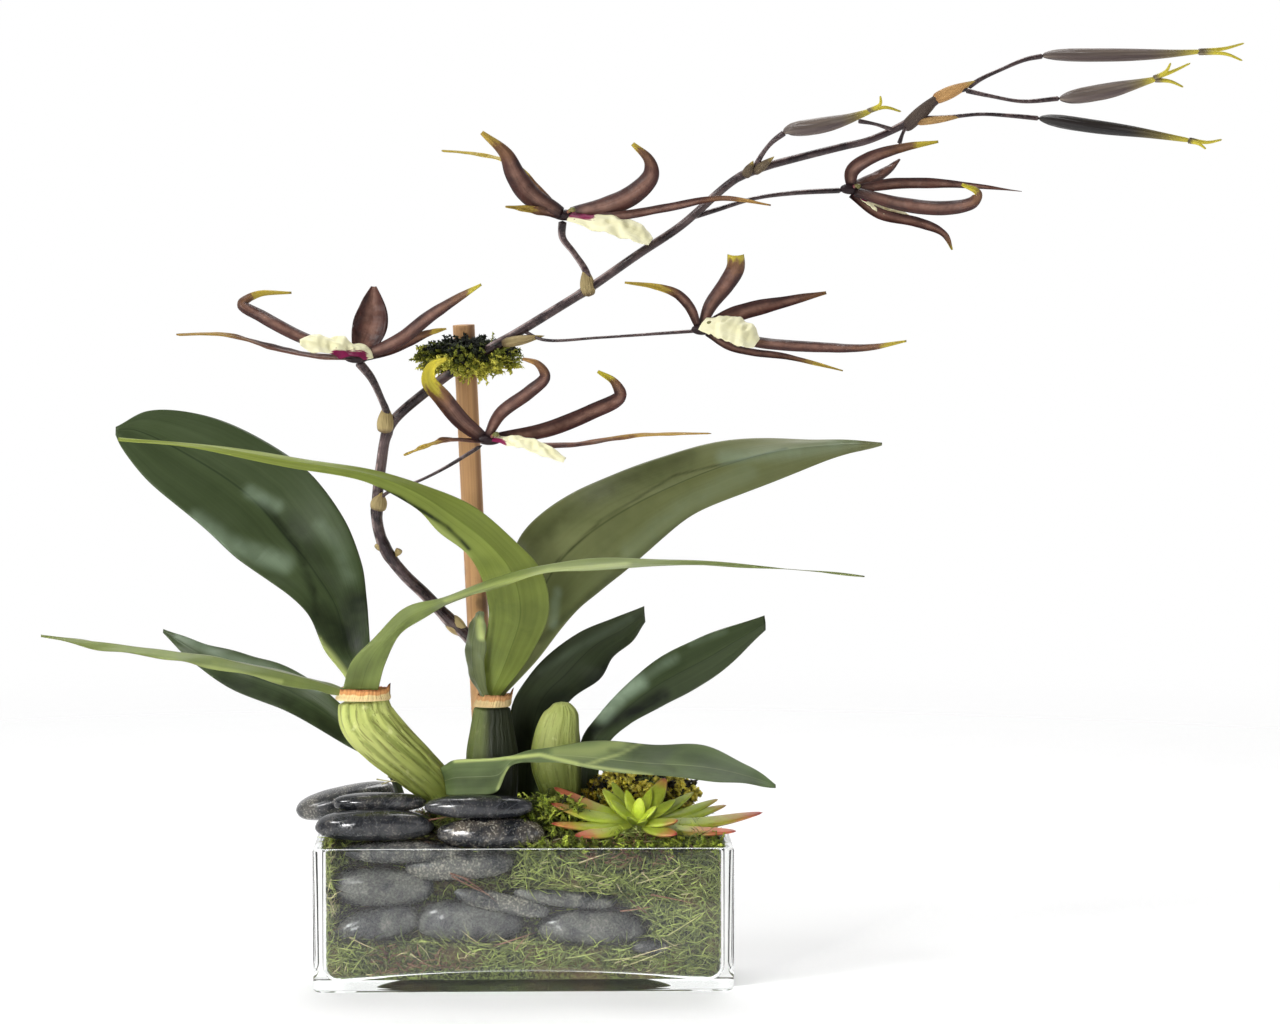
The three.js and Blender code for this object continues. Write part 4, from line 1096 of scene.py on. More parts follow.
    def cushion(self, draw):
        core = shrunk_core("moss_cushion_core", "moss_cushion", 1.5 * MM)
        finish_piece(core, moss_core_material(), "moss_cushion")
        lichen = moss_material("cushion_sprigs", [
            (0.0, (34, 30, 14)), (0.36, (156, 140, 48)), (0.6, (228, 210, 72)), (1.0, (238, 224, 96)),
        ], 0.35)
        top = self.sprigs("moss_cushion", 1500, draw, 5.2, lambda roots, normals: roots[:, 2] > 118, (7, 2.0, 1.5))
        clump = np.array([noise.noise(Vector(root) * 0.16) for root in top[1]])
        tint = np.clip(0.62 + 1.9 * clump + 0.16 * draw.standard_normal(len(clump)), 0, 1)
        piece = strand_piece("moss_cushion_sprigs", *top, draw.uniform(1.4, 2.1, len(top[1])), tint)
        finish_piece(piece, lichen)


def bark_material():
    material, tree, shader = new_material("bark_mix")
    place = object_place(tree)
    chunks = put(tree, "TexVoronoi", {"Vector": place, "Scale": 110})
    tone = mixed(chunks["Color"], (44, 32, 24), (92, 66, 46))
    feed(shader, Base_Color=tone, Roughness=0.95, Normal=relief(chunks["Distance"], 0.003))
    return material


# ---------------- pseudobulbs and collars

# Each bulb's axis and half widths from foot to top, how flat, ripe and grooved it is, and the x in
# mm beyond which it stands in shade.
BULBS = {
    "pseudobulb_left": {
        "points": [(-56, 7, 92), (-57, 6, 121), (-63, 5, 140), (-80, 1, 158), (-101, -5, 178), (-114, -7, 194),
                   (-117, -8, 210)],
        "widths": (7, 11, 14, 16.5, 19, 20, 17.5), "flatness": 0.72, "ripeness": 1.0, "grooves": 1.0,
        "dim_from": 900,
    },
    "pseudobulb_centre": {
        "points": [(-23, -1, 92), (-23, -1, 118), (-23, -2, 142), (-23, -2, 166), (-23, -2, 186), (-23, -2, 204)],
        "widths": (9, 14, 18, 18.5, 15.5, 12.5), "flatness": 0.54, "ripeness": 0.1, "grooves": 0.4,
        "dim_from": -31,
    },
    "pseudobulb_right": {
        "points": [(30, 8, 92), (30, 8, 118), (27, 8, 140), (24, 7, 162), (25, 6, 182), (28, 5, 197), (28, 5, 205)],
        "widths": (5, 9, 15, 18.5, 16, 12, 5), "flatness": 0.66, "ripeness": 0.6, "grooves": 0.5,
        "dim_from": 37,
    },
}
# Furrows between the ribs, by their turn round the bulb, with how deep and how wide each is.
BULB_FURROWS = (
    (0.03, 0.8, 0.03), (0.16, 1.0, 0.028), (0.3, 0.8, 0.03), (0.44, 1.0, 0.028), (0.56, 0.7, 0.022),
    (0.635, 0.8, 0.018),
    (0.7, 1.0, 0.024), (0.775, 0.75, 0.018), (0.85, 1.0, 0.024), (0.94, 0.7, 0.022),
)


def furrowed(turn, along):
    """How far a point of a bulb lies down in a furrow, from 0 to 1."""
    found = np.zeros_like(turn)
    for number, (place, depth, width) in enumerate(BULB_FURROWS):
        wander = place + 0.012 * np.sin(2 * np.pi * (1.3 * along + 0.37 * number))
        away = np.abs((turn - wander + 0.5) % 1 - 0.5)
        found = np.maximum(found, depth * np.exp(-((away / width) ** 2)))
    return found


def bulb_material(settings):
    material, tree, shader = new_material("pseudobulb")
    streaks = streaks_on(tree, 40, 2.2, 3)
    blotches = blotches_on(tree, 38)
    turn, along = own_map(tree)
    ripe = noted(tree, "ripeness")
    tone = mixed(ripe, (52, 66, 26), settings.bulb)
    tone = mixed(streaks["Wide"] * (ripe * 0.5), tone, (208, 212, 136))
    deep = noted(tree, "furrow") * between(blotches, 0, 1, 0.45, 1)
    tone = mixed(between(deep, 0.2, 0.85, 0, 0.5), tone, mixed(ripe, (28, 38, 16), settings.furrow))
    dashes = put(tree, "CombineXYZ", {0: turn * 62, 1: along * 7, 2: ripe})[0]
    dash = between(cloud(dashes, 1, 3), 0.56, 0.64) * ripe
    tone = mixed(dash * 0.5, tone, mixed(blotches, (80, 86, 30), (104, 92, 44)))
    lit = between(cloud(object_place(tree), 150, 4), 0.6, 0.72)
    tone = mixed(lit * (ripe * 0.5), tone, (220, 222, 160))
    # Darker towards the foot: painted shade where the bulb stands among the leaf bases and the moss.
    foot = between(along, 0.3, 0.85, 0.9, 0)
    tone = mixed(foot, tone, mixed(1, tone, (132, 140, 96), "MULTIPLY"))
    # Painted shade over the part of a bulb beyond dim_from.
    tone = mixed(noted(tree, "dim") * 0.9, tone, (14, 18, 8))
    height = streaks["Fine"] * -0.5 + dash * -0.8
    feed(shader, Base_Color=tone, Roughness=between(streaks["Fine"], 0, 1, 0.4, 0.54), Specular_IOR_Level=0.22,
         Normal=relief(height, 0.0008, 0.7))
    return material


class ORCHID_OT_pseudobulbs(bpy.types.Operator):
    """Grows the ribbed pseudobulbs"""
    bl_idname = "orchid.pseudobulbs"
    bl_label = "Pseudobulbs"

    def execute(self, context):
        material = bulb_material(context.scene.orchid_stem)
        for node, bulb in BULBS.items():
            profile = curve_through([(width, index, 0) for index, width in enumerate(bulb["widths"])])

            def section(along, turn):
                angle = 2 * np.pi * turn
                fine = 0.008 * np.cos(29 * angle + 5 * along) + 0.006 * np.sin(47 * angle - 9 * along)
                size = profile(along)[:, 0] * (1.03 - 0.11 * bulb["grooves"] * furrowed(turn, along) + fine)
                return size, size * bulb["flatness"]

            def notes(turn, along, places):
                shaded = np.clip((places[:, 0] - bulb["dim_from"]) / 7, 0, 1)
                return {"furrow": bulb["grooves"] * furrowed(turn, along), "dim": shaded}

            piece = skin(f"{node}_skin", sweep(bulb["points"], section, cap=0.035), 144, 64, notes)
            mark(piece, ripeness=bulb["ripeness"])
            finish_piece(piece, material, node)
        return {"FINISHED"}


# Each collar's middle at its foot and head, its half sizes, by its turn where it is torn, and its age.
COLLARS = {
    "collar_left": {
        "foot": (-117, -8, 208.6), "head": (-116, -8, 217), "half": (20, 15), "torn_side": 0.97, "age": 0.0},
    "collar_centre": {
        "foot": (-23, -2, 202.8), "head": (-21, -2, 211.6), "half": (13.5, 12), "torn_side": 0.02, "age": 0.6},
}


def collar_material(settings):
    material, tree, shader = new_material("dried_collar")
    streaks = streaks_on(tree, 70, 0.8, 2)
    up = own_map(tree)[1]
    wavy = up + (streaks["Wide"] - 0.5) * 0.07
    tone = mixed(between(wavy, 0.24, 0.3), (246, 222, 160), settings.collar)
    tone = mixed(between(wavy, 0.38, 0.5), tone, (168, 102, 54))
    tone = mixed(between(up, 0.5, 0.62), tone, (226, 168, 112))
    tone = mixed(streaks["Fine"] * 0.22, tone, (150, 92, 50))
    tone = mixed(noted(tree, "age") * 0.7, tone, mixed(streaks["Wide"], (120, 96, 66), (178, 140, 96)))
    tone = mixed(noted(tree, "torn"), tone, (62, 42, 28))
    feed(shader, Base_Color=tone, Roughness=0.75, Normal=relief(streaks["Fine"], 0.0008))
    return material


class ORCHID_OT_collars(bpy.types.Operator):
    """Wraps the torn, dried collars round the tops of the pseudobulbs"""
    bl_idname = "orchid.collars"
    bl_label = "Dried collars"

    def execute(self, context):
        material = collar_material(context.scene.orchid_stem)
        for node, collar in COLLARS.items():
            foot, head = np.array(collar["foot"], float), np.array(collar["head"], float)

            def shape(turn, along):
                # Up the outside from 0 to 0.5, over the torn edge, and down the inside.
                height = 1 - np.abs(2 * along - 1)
                outside = np.where(along <= 0.5, 1.0, 0.0)
                angle = 2 * np.pi * turn
                teeth = 0.9 * np.sin(3 * angle + 1) + 0.5 * np.sin(8 * angle) + 0.3 * np.sin(23 * angle + 1)
                teeth += 0.25 * np.sin(37 * angle + 2) * np.sin(2 * angle)
                torn = bump_at((turn - collar["torn_side"] + 0.5) % 1, 0.5, 0.04)
                tear = 1 + 0.035 * teeth + 0.5 * torn
                centre = foot + (head - foot) * (height * tear)[:, None]
                flare = 1 + 0.03 * bump_at(height, 0.2, 0.2) - 0.09 * height + 0.012 * teeth * height
                size = flare - (1 - outside) * 0.07 + 0.05 * torn * height
                size = size - 0.012 * (height < 0.02)
                x = collar["half"][0] * size * np.cos(angle)
                y = collar["half"][1] * size * np.sin(angle)
                return centre + np.stack([x, y, np.zeros_like(x)], axis=1)

            def notes(turn, along, places):
                tip = bump_at((turn - collar["torn_side"] + 0.5) % 1, 0.5, 0.03)
                return {"torn": tip * np.clip(2 - 4 * np.abs(along - 0.5), 0, 1), "age": collar["age"]}

            piece = skin(f"{node}_scale", shape, 160, 24, notes)
            finish_piece(piece, material, node)
        return {"FINISHED"}


# ---------------- leaves

# Each leaf is given by its two edges from base to tip, in step with each other.
LEAVES = {
    "leaf_left_broad": {
        "left": [(-125, 3, 215), (-133, 5, 227), (-145, 8, 242), (-159, 16, 270), (-186, 24, 292), (-212, 32, 310),
                 (-239, 42, 333), (-278, 56, 365), (-299, 66, 390), (-303, 70, 398)],
        "right": [(-115, 3, 215), (-111, 6, 230), (-112, 10, 243), (-115, 24, 278), (-119, 34, 305),
                  (-133, 46, 337), (-166, 62, 377), (-230, 78, 410), (-280, 78, 415), (-303, 72, 404)],
        "fold": 0.08, "tone": "dark", "dents": 1.5,
    },
    "leaf_left_thin": {
        "left": [(-133, -13, 212), (-159, -30, 219), (-209, -58, 234), (-249, -78, 245), (-292, -92, 253),
                 (-340, -99, 264)],
        "right": [(-131, -6, 217), (-160, -12, 226), (-211, -34, 240), (-251, -54, 247), (-294, -76, 256),
                  (-340, -98, 266)],
        "fold": -0.16, "tone": "two_toned",
    },
    "leaf_left_low": {
        "left": [(-86, 15, 100), (-102, 15, 152), (-133, 18, 173), (-177, 26, 197), (-215, 36, 211),
                 (-247, 52, 231), (-269, 70, 250)],
        "right": [(-79, 22, 100), (-100, 24, 165), (-138, 28, 204), (-170, 36, 226), (-204, 46, 236),
                  (-239, 58, 244), (-269, 72, 253)],
        "fold": 0.06, "tone": "dark",
    },
    "leaf_right_broad": {
        "left": [(-24, 5, 209), (-15, 12, 250), (-12, 26, 289), (-2, 40, 324), (38, 60, 356), (98, 80, 378),
                 (161, 96, 393), (224, 108, 392), (272, 116, 389)],
        "right": [(-15, 4, 209), (9, 7, 234), (33, 14, 264), (57, 24, 285), (87, 38, 308), (127, 58, 338),
                  (193, 82, 364), (247, 104, 381), (272, 115, 387)],
        "fold": -0.08, "tone": "olive", "dents": 1.3,
    },
    "leaf_arching": {
        "left": [(-31, -2, 209), (-29, -16, 245), (-25, -24, 274), (-30, -32, 299), (-41, -38, 318),
                 (-61, -46, 334), (-78, -52, 352), (-110, -58, 370), (-165, -66, 381), (-229, -72, 395),
                 (-287, -74, 401)],
        "right": [(-18, -1, 209), (6, -8, 242), (19, -14, 273), (13, -20, 304), (-6, -26, 326), (-37, -34, 352),
                  (-74, -42, 369), (-110, -50, 379), (-165, -58, 389), (-230, -66, 398), (-287, -72, 404)],
        "fold": -0.1, "tone": "lime", "dents": 0.6,
    },
    "leaf_crossing": {
        "left": [(-132, -9, 215), (-126, -11, 235), (-112, -14, 251), (-88, -19, 275), (-60, -27, 285),
                 (-27, -38, 297), (12, -46, 310), (55, -54, 315), (112, -68, 315.6), (165, -85, 312.5),
                 (200, -90, 309.6), (242, -98, 306.0)],
        "right": [(-106, -13, 215), (-100, -20, 236), (-92, -28, 254), (-76, -35, 268), (-54, -46, 282),
                  (-27, -57, 292), (12, -66, 304), (55, -72, 309), (112, -76, 311.6), (165, -86, 310.8),
                  (200, -91, 308.9), (242, -99, 305.6)],
        "fold": 0.1, "tone": "crossing", "taper": 0.8,
    },
    "leaf_right_short": {
        "left": [(-10, 18, 100), (-10, 19, 160), (-8, 21, 201), (9, 26, 228), (40, 38, 252), (68, 46, 263),
                 (90, 52, 271)],
        "right": [(12, 24, 100), (18, 28, 167), (34, 33, 202), (57, 38, 218), (66, 42, 233), (81, 48, 245),
                  (91, 52, 259)],
        "fold": 0.07, "tone": "night",
    },
    "leaf_right_upper": {
        "left": [(37, 26, 100), (42, 26, 172), (56, 30, 193), (94, 38, 229), (131, 46, 248), (180, 60, 263)],
        "right": [(50, 28, 100), (61, 29, 168), (79, 32, 185), (104, 38, 198), (142, 48, 218), (181, 59, 252)],
        "fold": -0.08, "tone": "deep",
    },
    "leaf_right_low": {
        "left": [(-61, -6, 158), (-51, -14, 164.5), (-32, -17, 166), (-18, -18, 167), (-7, -18, 169), (13, -15, 173),
                 (44, -8, 177), (93, -4, 175), (133, -14, 174), (161, -34, 164), (182, -52, 151)],
        "right": [(-57, -6, 138), (-49, -16, 139), (-32, -20, 140), (-20, -22, 142), (-9, -23, 161), (13, -26, 164.5),
                  (44, -38, 162), (91, -52, 158), (131, -58, 155), (160, -58, 152), (182, -54, 149)],
        "fold": 0.08, "tone": "grey",
    },
    "leaf_sheath": {
        "left": [(-31, -8, 210), (-40, -14, 229), (-42, -15, 249), (-37, -16, 268), (-32, -17, 274)],
        "right": [(-25, -9, 210), (-28, -22, 230), (-27, -25, 250), (-27, -25, 264), (-29, -21, 274)],
        "fold": -0.2, "tone": "sheath",
    },
}


# Pale places, painted sheen and painted shade on the leaves: what it is, its line by x and z, its reach and its
# strength.
LEAF_MARKS = {
    "leaf_left_broad": [
        # The paler under side where the blade turns, with a painted highlight along that edge.
        ("pale", [(-151, 251), (-140, 238), (-130, 225)], 5, 1.0),
        ("sheen", [(-242, 336), (-217, 319), (-176, 305)], 12, 0.8),
        ("sheen", [(-202, 356), (-183, 346)], 9, 0.7),
        ("sheen", [(-150, 332), (-136, 314), (-128, 295)], 10, 0.35),
        ("shade", [(-193, 349), (-167, 316), (-154, 284), (-151, 265)], 6, 0.85),
        ("shade", [(-149, 265), (-128, 251), (-121, 277)], 24, 1.0),
        ("shade", [(-171, 332), (-154, 310), (-139, 284)], 16, 0.5),
    ],
    "leaf_left_low": [
        ("sheen", [(-257, 248), (-217, 233), (-184, 225), (-151, 213)], 6, 0.55),
        ("shade", [(-224, 218), (-173, 203), (-136, 180)], 13, 0.8),
    ],
    "leaf_left_thin": [
        ("pale", [(-303, 252), (-250, 244), (-211, 235), (-175, 225)], 3, 0.8),
    ],
    "leaf_right_short": [
        ("sheen", [(12, 225), (38, 240), (79, 262)], 5, 0.15),
        ("shade", [(-3, 169), (9, 195), (42, 206), (71, 229)], 16, 1.0),
    ],
    "leaf_right_upper": [
        ("sheen", [(58, 193), (72, 208), (86, 217)], 11, 1.5),
        ("sheen", [(86, 217), (101, 227), (112, 233)], 7, 0.5),
        ("sheen", [(124, 243), (150, 252)], 4, 0.3),
        ("shade", [(43, 165), (50, 180), (62, 187), (80, 194), (104, 206)], 9, 1.2),
    ],
    "leaf_right_broad": [
        ("shade", [(-2, 309), (31, 339), (76, 363), (124, 380)], 14, 0.45),
        ("sheen", [(25, 285), (22, 261)], 6, 0.8),
        ("shade", [(12, 250), (42, 276), (94, 317), (124, 335)], 5, 0.6),
        ("shade", [(20, 302), (57, 335), (113, 367), (198, 386)], 1.6, 0.75),
        ("sheen", [(79, 313), (116, 343), (168, 369)], 12, 0.35),
        ("sheen", [(150, 380), (205, 383), (250, 390)], 9, 0.7),
    ],
    "leaf_arching": [
        ("shade", [(-103, 366), (-88, 359), (-70, 348), (-55, 338), (-45, 328), (-39, 321)], 2.4, 1.3),
        ("pale", [(-85, 355), (-67, 341), (-51, 327), (-40, 314)], 5, 0.5),
        ("shade", [(-13, 283), (1, 272), (-6, 243)], 30, 0.5),
        # A lit strip up the stalk: painted highlight.
        ("pale", [(-26, 272), (-29, 247), (-33, 216)], 4, 0.75),
        ("shade", [(-20, 283), (-22, 261), (-26, 230)], 3, 0.6),
        ("shade", [(-27, 312), (-6, 303), (12, 307)], 7, 0.25),
    ],
    "leaf_crossing": [
        ("shade", [(-89, 258), (-67, 275), (-38, 288), (-13, 294)], 4, 0.55),
        ("shade", [(-125, 225), (-100, 243), (-85, 265)], 14, 0.5),
        ("pale", [(-56, 283), (-17, 297), (19, 307), (74, 312)], 2.4, 0.6),
    ],
    "leaf_right_low": [
        ("pale", [(-50, 164), (-20, 166), (12, 169), (40, 164)], 2.2, 0.95),
        ("pale", [(40, 164), (62, 161), (92, 158)], 1.5, 0.7),
        ("pale", [(48, 164), (70, 169), (90, 177)], 1.8, 0.6),
        ("pale", [(24, 171), (50, 171), (74, 177)], 8, 0.4),
        ("pale", [(-19, 144), (-16, 152), (-11, 160)], 1.8, 0.6),
        ("shade", [(-57, 150), (-34, 149), (-18, 153)], 12, 0.65),
        ("shade", [(62, 172), (84, 168), (110, 160)], 3, 0.5),
        ("shade", [(80, 170), (110, 171), (165, 154)], 11, 0.6),
    ],
    "leaf_sheath": [
        ("pale", [(-32, 268), (-30, 256)], 5, 0.9),
        ("shade", [(-39, 246), (-37, 222)], 5, 0.6),
    ],
}


def leaf_notes(node):
    """Where a leaf is pale, where it carries a painted sheen and where painted shade darkens it."""
    def notes(turn, along, places):
        found = {kind: np.zeros(len(places)) for kind in ("pale", "sheen", "shade")}
        for kind, line, reach, strength in LEAF_MARKS[node]:
            found[kind] = np.maximum(found[kind], strength * near_line(places, line, reach))
        return found

    return notes


def leaf_material(name, body, foot, tip, rib, edge, under, shine=0.36, second=None):
    """A strap leaf: parallel veins, a midrib, paler edges, and colours that change from the
    foot to the tip. second is the colour of the other half of the blade."""
    material, tree, shader = new_material(name)
    places = places_on(tree, 0.035, 0.05)
    streaks = streaks_on(tree, 84, 1.6, 1.6)
    blotches = blotches_on(tree, 16)
    tone = body
    if second is not None:
        tone = mixed(between(places["Across"], 0.44, 0.5), body, second)
    darker = mixed(1, tone, (176, 186, 170), "MULTIPLY", tree)
    tone = mixed(blotches, darker, tone)
    tone = mixed(between(places["Along"], 0.12, 0), tone, foot)
    tone = mixed(between(places["Along"], 0.62, 1), tone, tip)
    tone = mixed(places["Under"] * 0.65, tone, under)
    tone = mixed(streaks["Fine"] * 0.06, tone, edge)
    tone = mixed(streaks["Wide"] * 0.25, tone, darker)
    tone = mixed(places["Rib"] * 0.6, tone, rib)
    tone = mixed(places["Edge"] * 0.5, tone, edge)
    ragged = between(cloud(object_place(tree), 55, 4, 0.8), 0.3, 0.7, 0.7, 1.15)
    # Pale marks lighten the colour, a few of them as painted highlights on lit edges; shade marks are painted shade,
    # and sheen marks painted highlights.
    sheen = noted(tree, "sheen") * ragged
    tone = mixed(noted(tree, "pale") * 0.85, tone, bpy.context.scene.orchid_leaves.pale)
    shade = noted(tree, "shade") * ragged * 0.8
    tone = mixed(shade, tone, mixed(1, tone, (84, 92, 82), "MULTIPLY"))
    tone = mixed(sheen * 0.55, tone, (152, 172, 146))
    height = streaks["Fine"] * 0.4 + blotches
    rough = between(blotches, 0, 1, shine - 0.06, shine + 0.06) + streaks["Fine"] * 0.06
    feed(shader, Base_Color=tone, Roughness=rough, Specular_IOR_Level=0.22, Normal=relief(height, 0.0003, 0.4))
    return material


# Colours of each kind of leaf: body, foot, tip, midrib, edge and under side, and what differs. A
# name stands for the setting.
LEAF_TONES = {
    "dark": ("dark", (34, 44, 24), (70, 84, 54), (32, 44, 26), (104, 120, 84), (78, 92, 58), {}),
    "night": ((34, 40, 24), (18, 24, 12), (58, 66, 44), (24, 30, 18), (92, 104, 76), (60, 70, 44), {}),
    "deep": ((48, 60, 33), (16, 22, 10), (54, 64, 38), (34, 44, 24), (98, 112, 78), (70, 82, 52), {}),
    "olive": ("olive", (104, 118, 58), (150, 146, 110), (60, 70, 40), (126, 134, 88), (116, 124, 80), {}),
    "lime": ("lime", (100, 116, 44), (164, 174, 78), (92, 110, 40), (146, 162, 74), (146, 160, 76), {}),
    "crossing": ((118, 132, 66), (88, 102, 44), (150, 150, 112), (92, 108, 50), (164, 172, 110), (130, 144, 80), {}),
    "grey": ("grey", (104, 126, 66), (84, 104, 74), (150, 160, 112), (130, 140, 96), (96, 112, 70), {"shine": 0.56}),
    "two_toned": ((160, 180, 74), (150, 166, 80), (150, 160, 84), (206, 214, 150), (150, 150, 120), (130, 140, 90),
                  {"second": (112, 116, 96)}),
    "sheath": ((84, 84, 50), (104, 100, 60), (176, 186, 150), (70, 76, 44), (150, 160, 110), (110, 122, 80), {}),
}


def leaf_tones(settings):
    """The leaf materials, by tone."""
    return {
        tone: leaf_material(f"leaf_{tone}", getattr(settings, body) if isinstance(body, str) else body, *rest, **extra)
        for tone, (body, *rest, extra) in LEAF_TONES.items()
    }


class ORCHID_OT_leaves(bpy.types.Operator):
    """Grows the strap leaves with their midribs and parallel veins"""
    bl_idname = "orchid.leaves"
    bl_label = "Leaves"

    def execute(self, context):
        settings = context.scene.orchid_leaves
        tones = leaf_tones(settings)
        for index, (node, leaf) in enumerate(LEAVES.items()):
            shape = blade(
                leaf["left"], leaf["right"], fold=leaf["fold"], thickness=1.1, taper=leaf.get("taper", 0),
                ripple=settings.ripple / MM, waves=4 + index % 3, crease=0.3, dents=leaf.get("dents", 0.5), seed=index,
            )
            columns, rows = (80, 190) if "dents" in leaf else (56, 120)
            piece = skin(f"{node}_blade", shape, columns, rows, leaf_notes(node))
            finish_piece(piece, tones[leaf["tone"]], node)
        return {"FINISHED"}


# ---------------- flower stem

STEM_FOOT, STEM_TIP = 5.2, 2.3  # radii
STEM_ROUTE = [
    (-25, 13, 104), (-24, 13.5, 160), (-26, 13.5, 205), (-30, 12, 235), (-40, 11, 252), (-53, 10, 264),
    (-71, 9, 283), (-88, 6, 300), (-100, 3, 317), (-106, 0, 336), (-106, -3, 355), (-103, -6, 380),
    (-99, -8, 402), (-93, -9, 413), (-69, -10, 434), (-42, -11, 454), (-12, -12, 471), (24, -14, 493),
    (48, -16, 508), (84, -19, 533), (114, -22, 553), (154, -26, 587), (173, -28, 595), (198, -31, 602),
    (230, -34, 610), (250, -36, 615), (281, -40, 630), (303, -43, 647), (319, -45, 652),
]
# The radius and the route of each stalk, by the bloom or bud that it carries.
PEDICELS = {
    "bloom_1": (3, [(-100, -8, 405), (-99, -14, 419), (-102, -20, 428), (-109, -30, 444), (-118, -39, 456)]),
    "bloom_2": (2.7, [(48, -16, 508), (46, -18, 520), (37, -17, 534), (29, -17, 545), (29, -18, 557)]),
    "bloom_3": (1.2, [(1, -13, 477), (16, -24, 471), (56, -32, 473), (98, -38, 476), (125, -42, 478)]),
    "bloom_4": (1.8, [(121, -22, 559), (141, -18, 565), (168, -10, 573), (197, -2, 577), (234, 4, 579)]),
    "bloom_5": (1.3, [(-105, -3, 354), (-98, -9, 360), (-75, -18, 369), (-56, -28, 379), (-29, -39, 396)]),
    "bud_1": (1.7, [(319, -45, 652), (328, -46, 658), (343, -46, 665), (360, -46, 672), (373, -46, 674.6)]),
    "bud_2": (1.6, [(317, -45, 650), (334, -50, 646), (357, -54, 642), (384, -58, 644)]),
    "bud_3": (1.6, [(281, -40, 630), (305, -43, 631), (328, -46, 633), (349, -46, 632), (371, -46, 630)]),
    "bud_4": (2, [(166, -27, 592), (172, -34, 604), (179, -38, 613), (188, -42, 620)]),
    "spent_1": (1.5, [(277, -39, 627), (273, -42, 620), (270, -44, 612)]),
    "spent_2": (1.5, [(266, -38, 622), (252, -47, 626), (240, -52, 628)]),
}
# Papery bracts: the two ends of each, its radius and how dark it is, or how orange if below 0.
BRACTS = [
    ((-55, 10, 266), (-39, 11, 251), 6.0, 0.1), ((-107, 2, 318), (-103, 0, 322), 2.8, 0),
    ((-90, 3, 318), (-93, 2, 312), 2.6, 0), ((-106, -3, 346), (-103, -6, 361), 5.8, 0.2),
    ((-100, -12, 403), (-99, -14, 425), 5.8, 0),
    ((-16, -14, 468), (16, -21, 474), 3.6, 0.2), ((48, -17, 502), (45, -18, 525), 5.2, 0.2),
    ((160, -28, 588), (166, -34, 600), 3.4, 0.8), ((166, -29, 591), (181, -36, 603), 3.2, 0.75),
    ((273, -39, 622), (305, -44, 652), 4.8, 0.93), ((294, -42, 643), (325, -47, 657), 4.4, -0.6),
    ((282, -41, 627), (318, -45, 632), 2.6, -0.5),
]


def stem_material(settings):
    material, tree, shader = new_material("flower_stem")
    streaks = streaks_on(tree, 14, 26, 1)
    blotches = blotches_on(tree, 45)
    tone = mixed(blotches, (30, 18, 22), settings.skin)
    tone = mixed(streaks["Wide"] * blotches * 0.5, tone, settings.bloom)
    round_it = own_map(tree)[0]
    lit_side = between(abs(round_it - 0.9), 0.08, 0)
    ragged = between(cloud(object_place(tree), 90, 4), 0.4, 0.66)
    tone = mixed(lit_side * ragged * 0.75, tone, (196, 172, 168))
    speck = between(cloud(object_place(tree), 700, 2), 0.62, 0.74)
    tone = mixed(speck * 0.25, tone, (146, 128, 104))
    feed(shader, Base_Color=tone, Roughness=between(streaks["Fine"], 0, 1, 0.2, 0.34), Specular_IOR_Level=0.42,
         Normal=relief(streaks["Fine"], 0.0003, 0.5))
    return material


def bract_material(settings):
    material, tree, shader = new_material("papery_bract")
    streaks = streaks_on(tree, 30, 1.5, 1)
    blotches = blotches_on(tree, 60)
    up = own_map(tree)[1]
    tone = mixed(streaks["Wide"], (172, 146, 94), settings.bract)
    tone = mixed(blotches * 0.5, tone, (170, 152, 98))
    tone = mixed(between(up, 0.22, 0.05, 0, 0.7), tone, (96, 70, 50))
    dark = noted(tree, "dark")
    tone = mixed(dark, tone, (62, 44, 44))
    tone = mixed(between(dark, 0, -1), tone, (212, 150, 84))
    tone = mixed(between(up, 0.7, 0.95, 0, 0.8), tone, (216, 190, 96))
    feed(shader, Base_Color=tone, Roughness=0.6, Normal=relief(streaks["Fine"], 0.0006))
    return material


class ORCHID_OT_flower_stem(bpy.types.Operator):
    """Grows the flower stem, the flower stalks and the papery bracts"""
    bl_idname = "orchid.flower_stem"
    bl_label = "Flower stem"

    def execute(self, context):
        settings = context.scene.orchid_stem
        route = curve_through(STEM_ROUTE)
        stations = route(np.linspace(0, 1, 600))
        last = len(stations) - 1
        joints = [np.argmin(np.linalg.norm(stations - start, axis=1)) / last for start, *_ in BRACTS]

        def radius(along):
            size = STEM_FOOT + (STEM_TIP - STEM_FOOT) * along**0.9
            for joint in joints:
                size = size * (1 + 0.12 * bump_at(along, joint, 0.012))
            return size

        parts = [skin("stem", tube(STEM_ROUTE, radius, cap=0.004), 18, 420)]
        for size, points in PEDICELS.values():
            grown = tube(points, lambda along, size=size: size * (1.12 - 0.3 * bump_at(along, 0.5, 0.5)), cap=0.02)
            parts.append(skin("stalk", grown, 12, 40))
        piece = join("flower_stem_skin", parts)
        finish_piece(piece, stem_material(settings), "flower_stem")
        self.bracts(settings)
        return {"FINISHED"}

    def bracts(self, settings):
        parts = []
        for start, end, size, dark in BRACTS:
            middle = [(a + b) / 2 for a, b in zip(start, end)]

            def girth(along, size=size):
                return size * (0.5 + 0.5 * np.sin(np.pi * np.minimum(1, 0.16 + along * 0.8))) * (1 - 0.82 * along**3)

            def section(along, turn, girth=girth):
                keel = 1 + 0.12 * np.cos(2 * np.pi * (turn * 2 + 0.3 * along)) + 0.012 * np.sin(2 * np.pi * turn * 9)
                return girth(along) * keel, girth(along) * keel * 0.9

            parts.append(skin("bract", sweep([start, middle, end], section, cap=0.12), 24, 24))
            mark(parts[-1], dark=dark)
        finish_piece(join("flower_stem_bracts", parts), bract_material(settings))


# ---------------- blooms


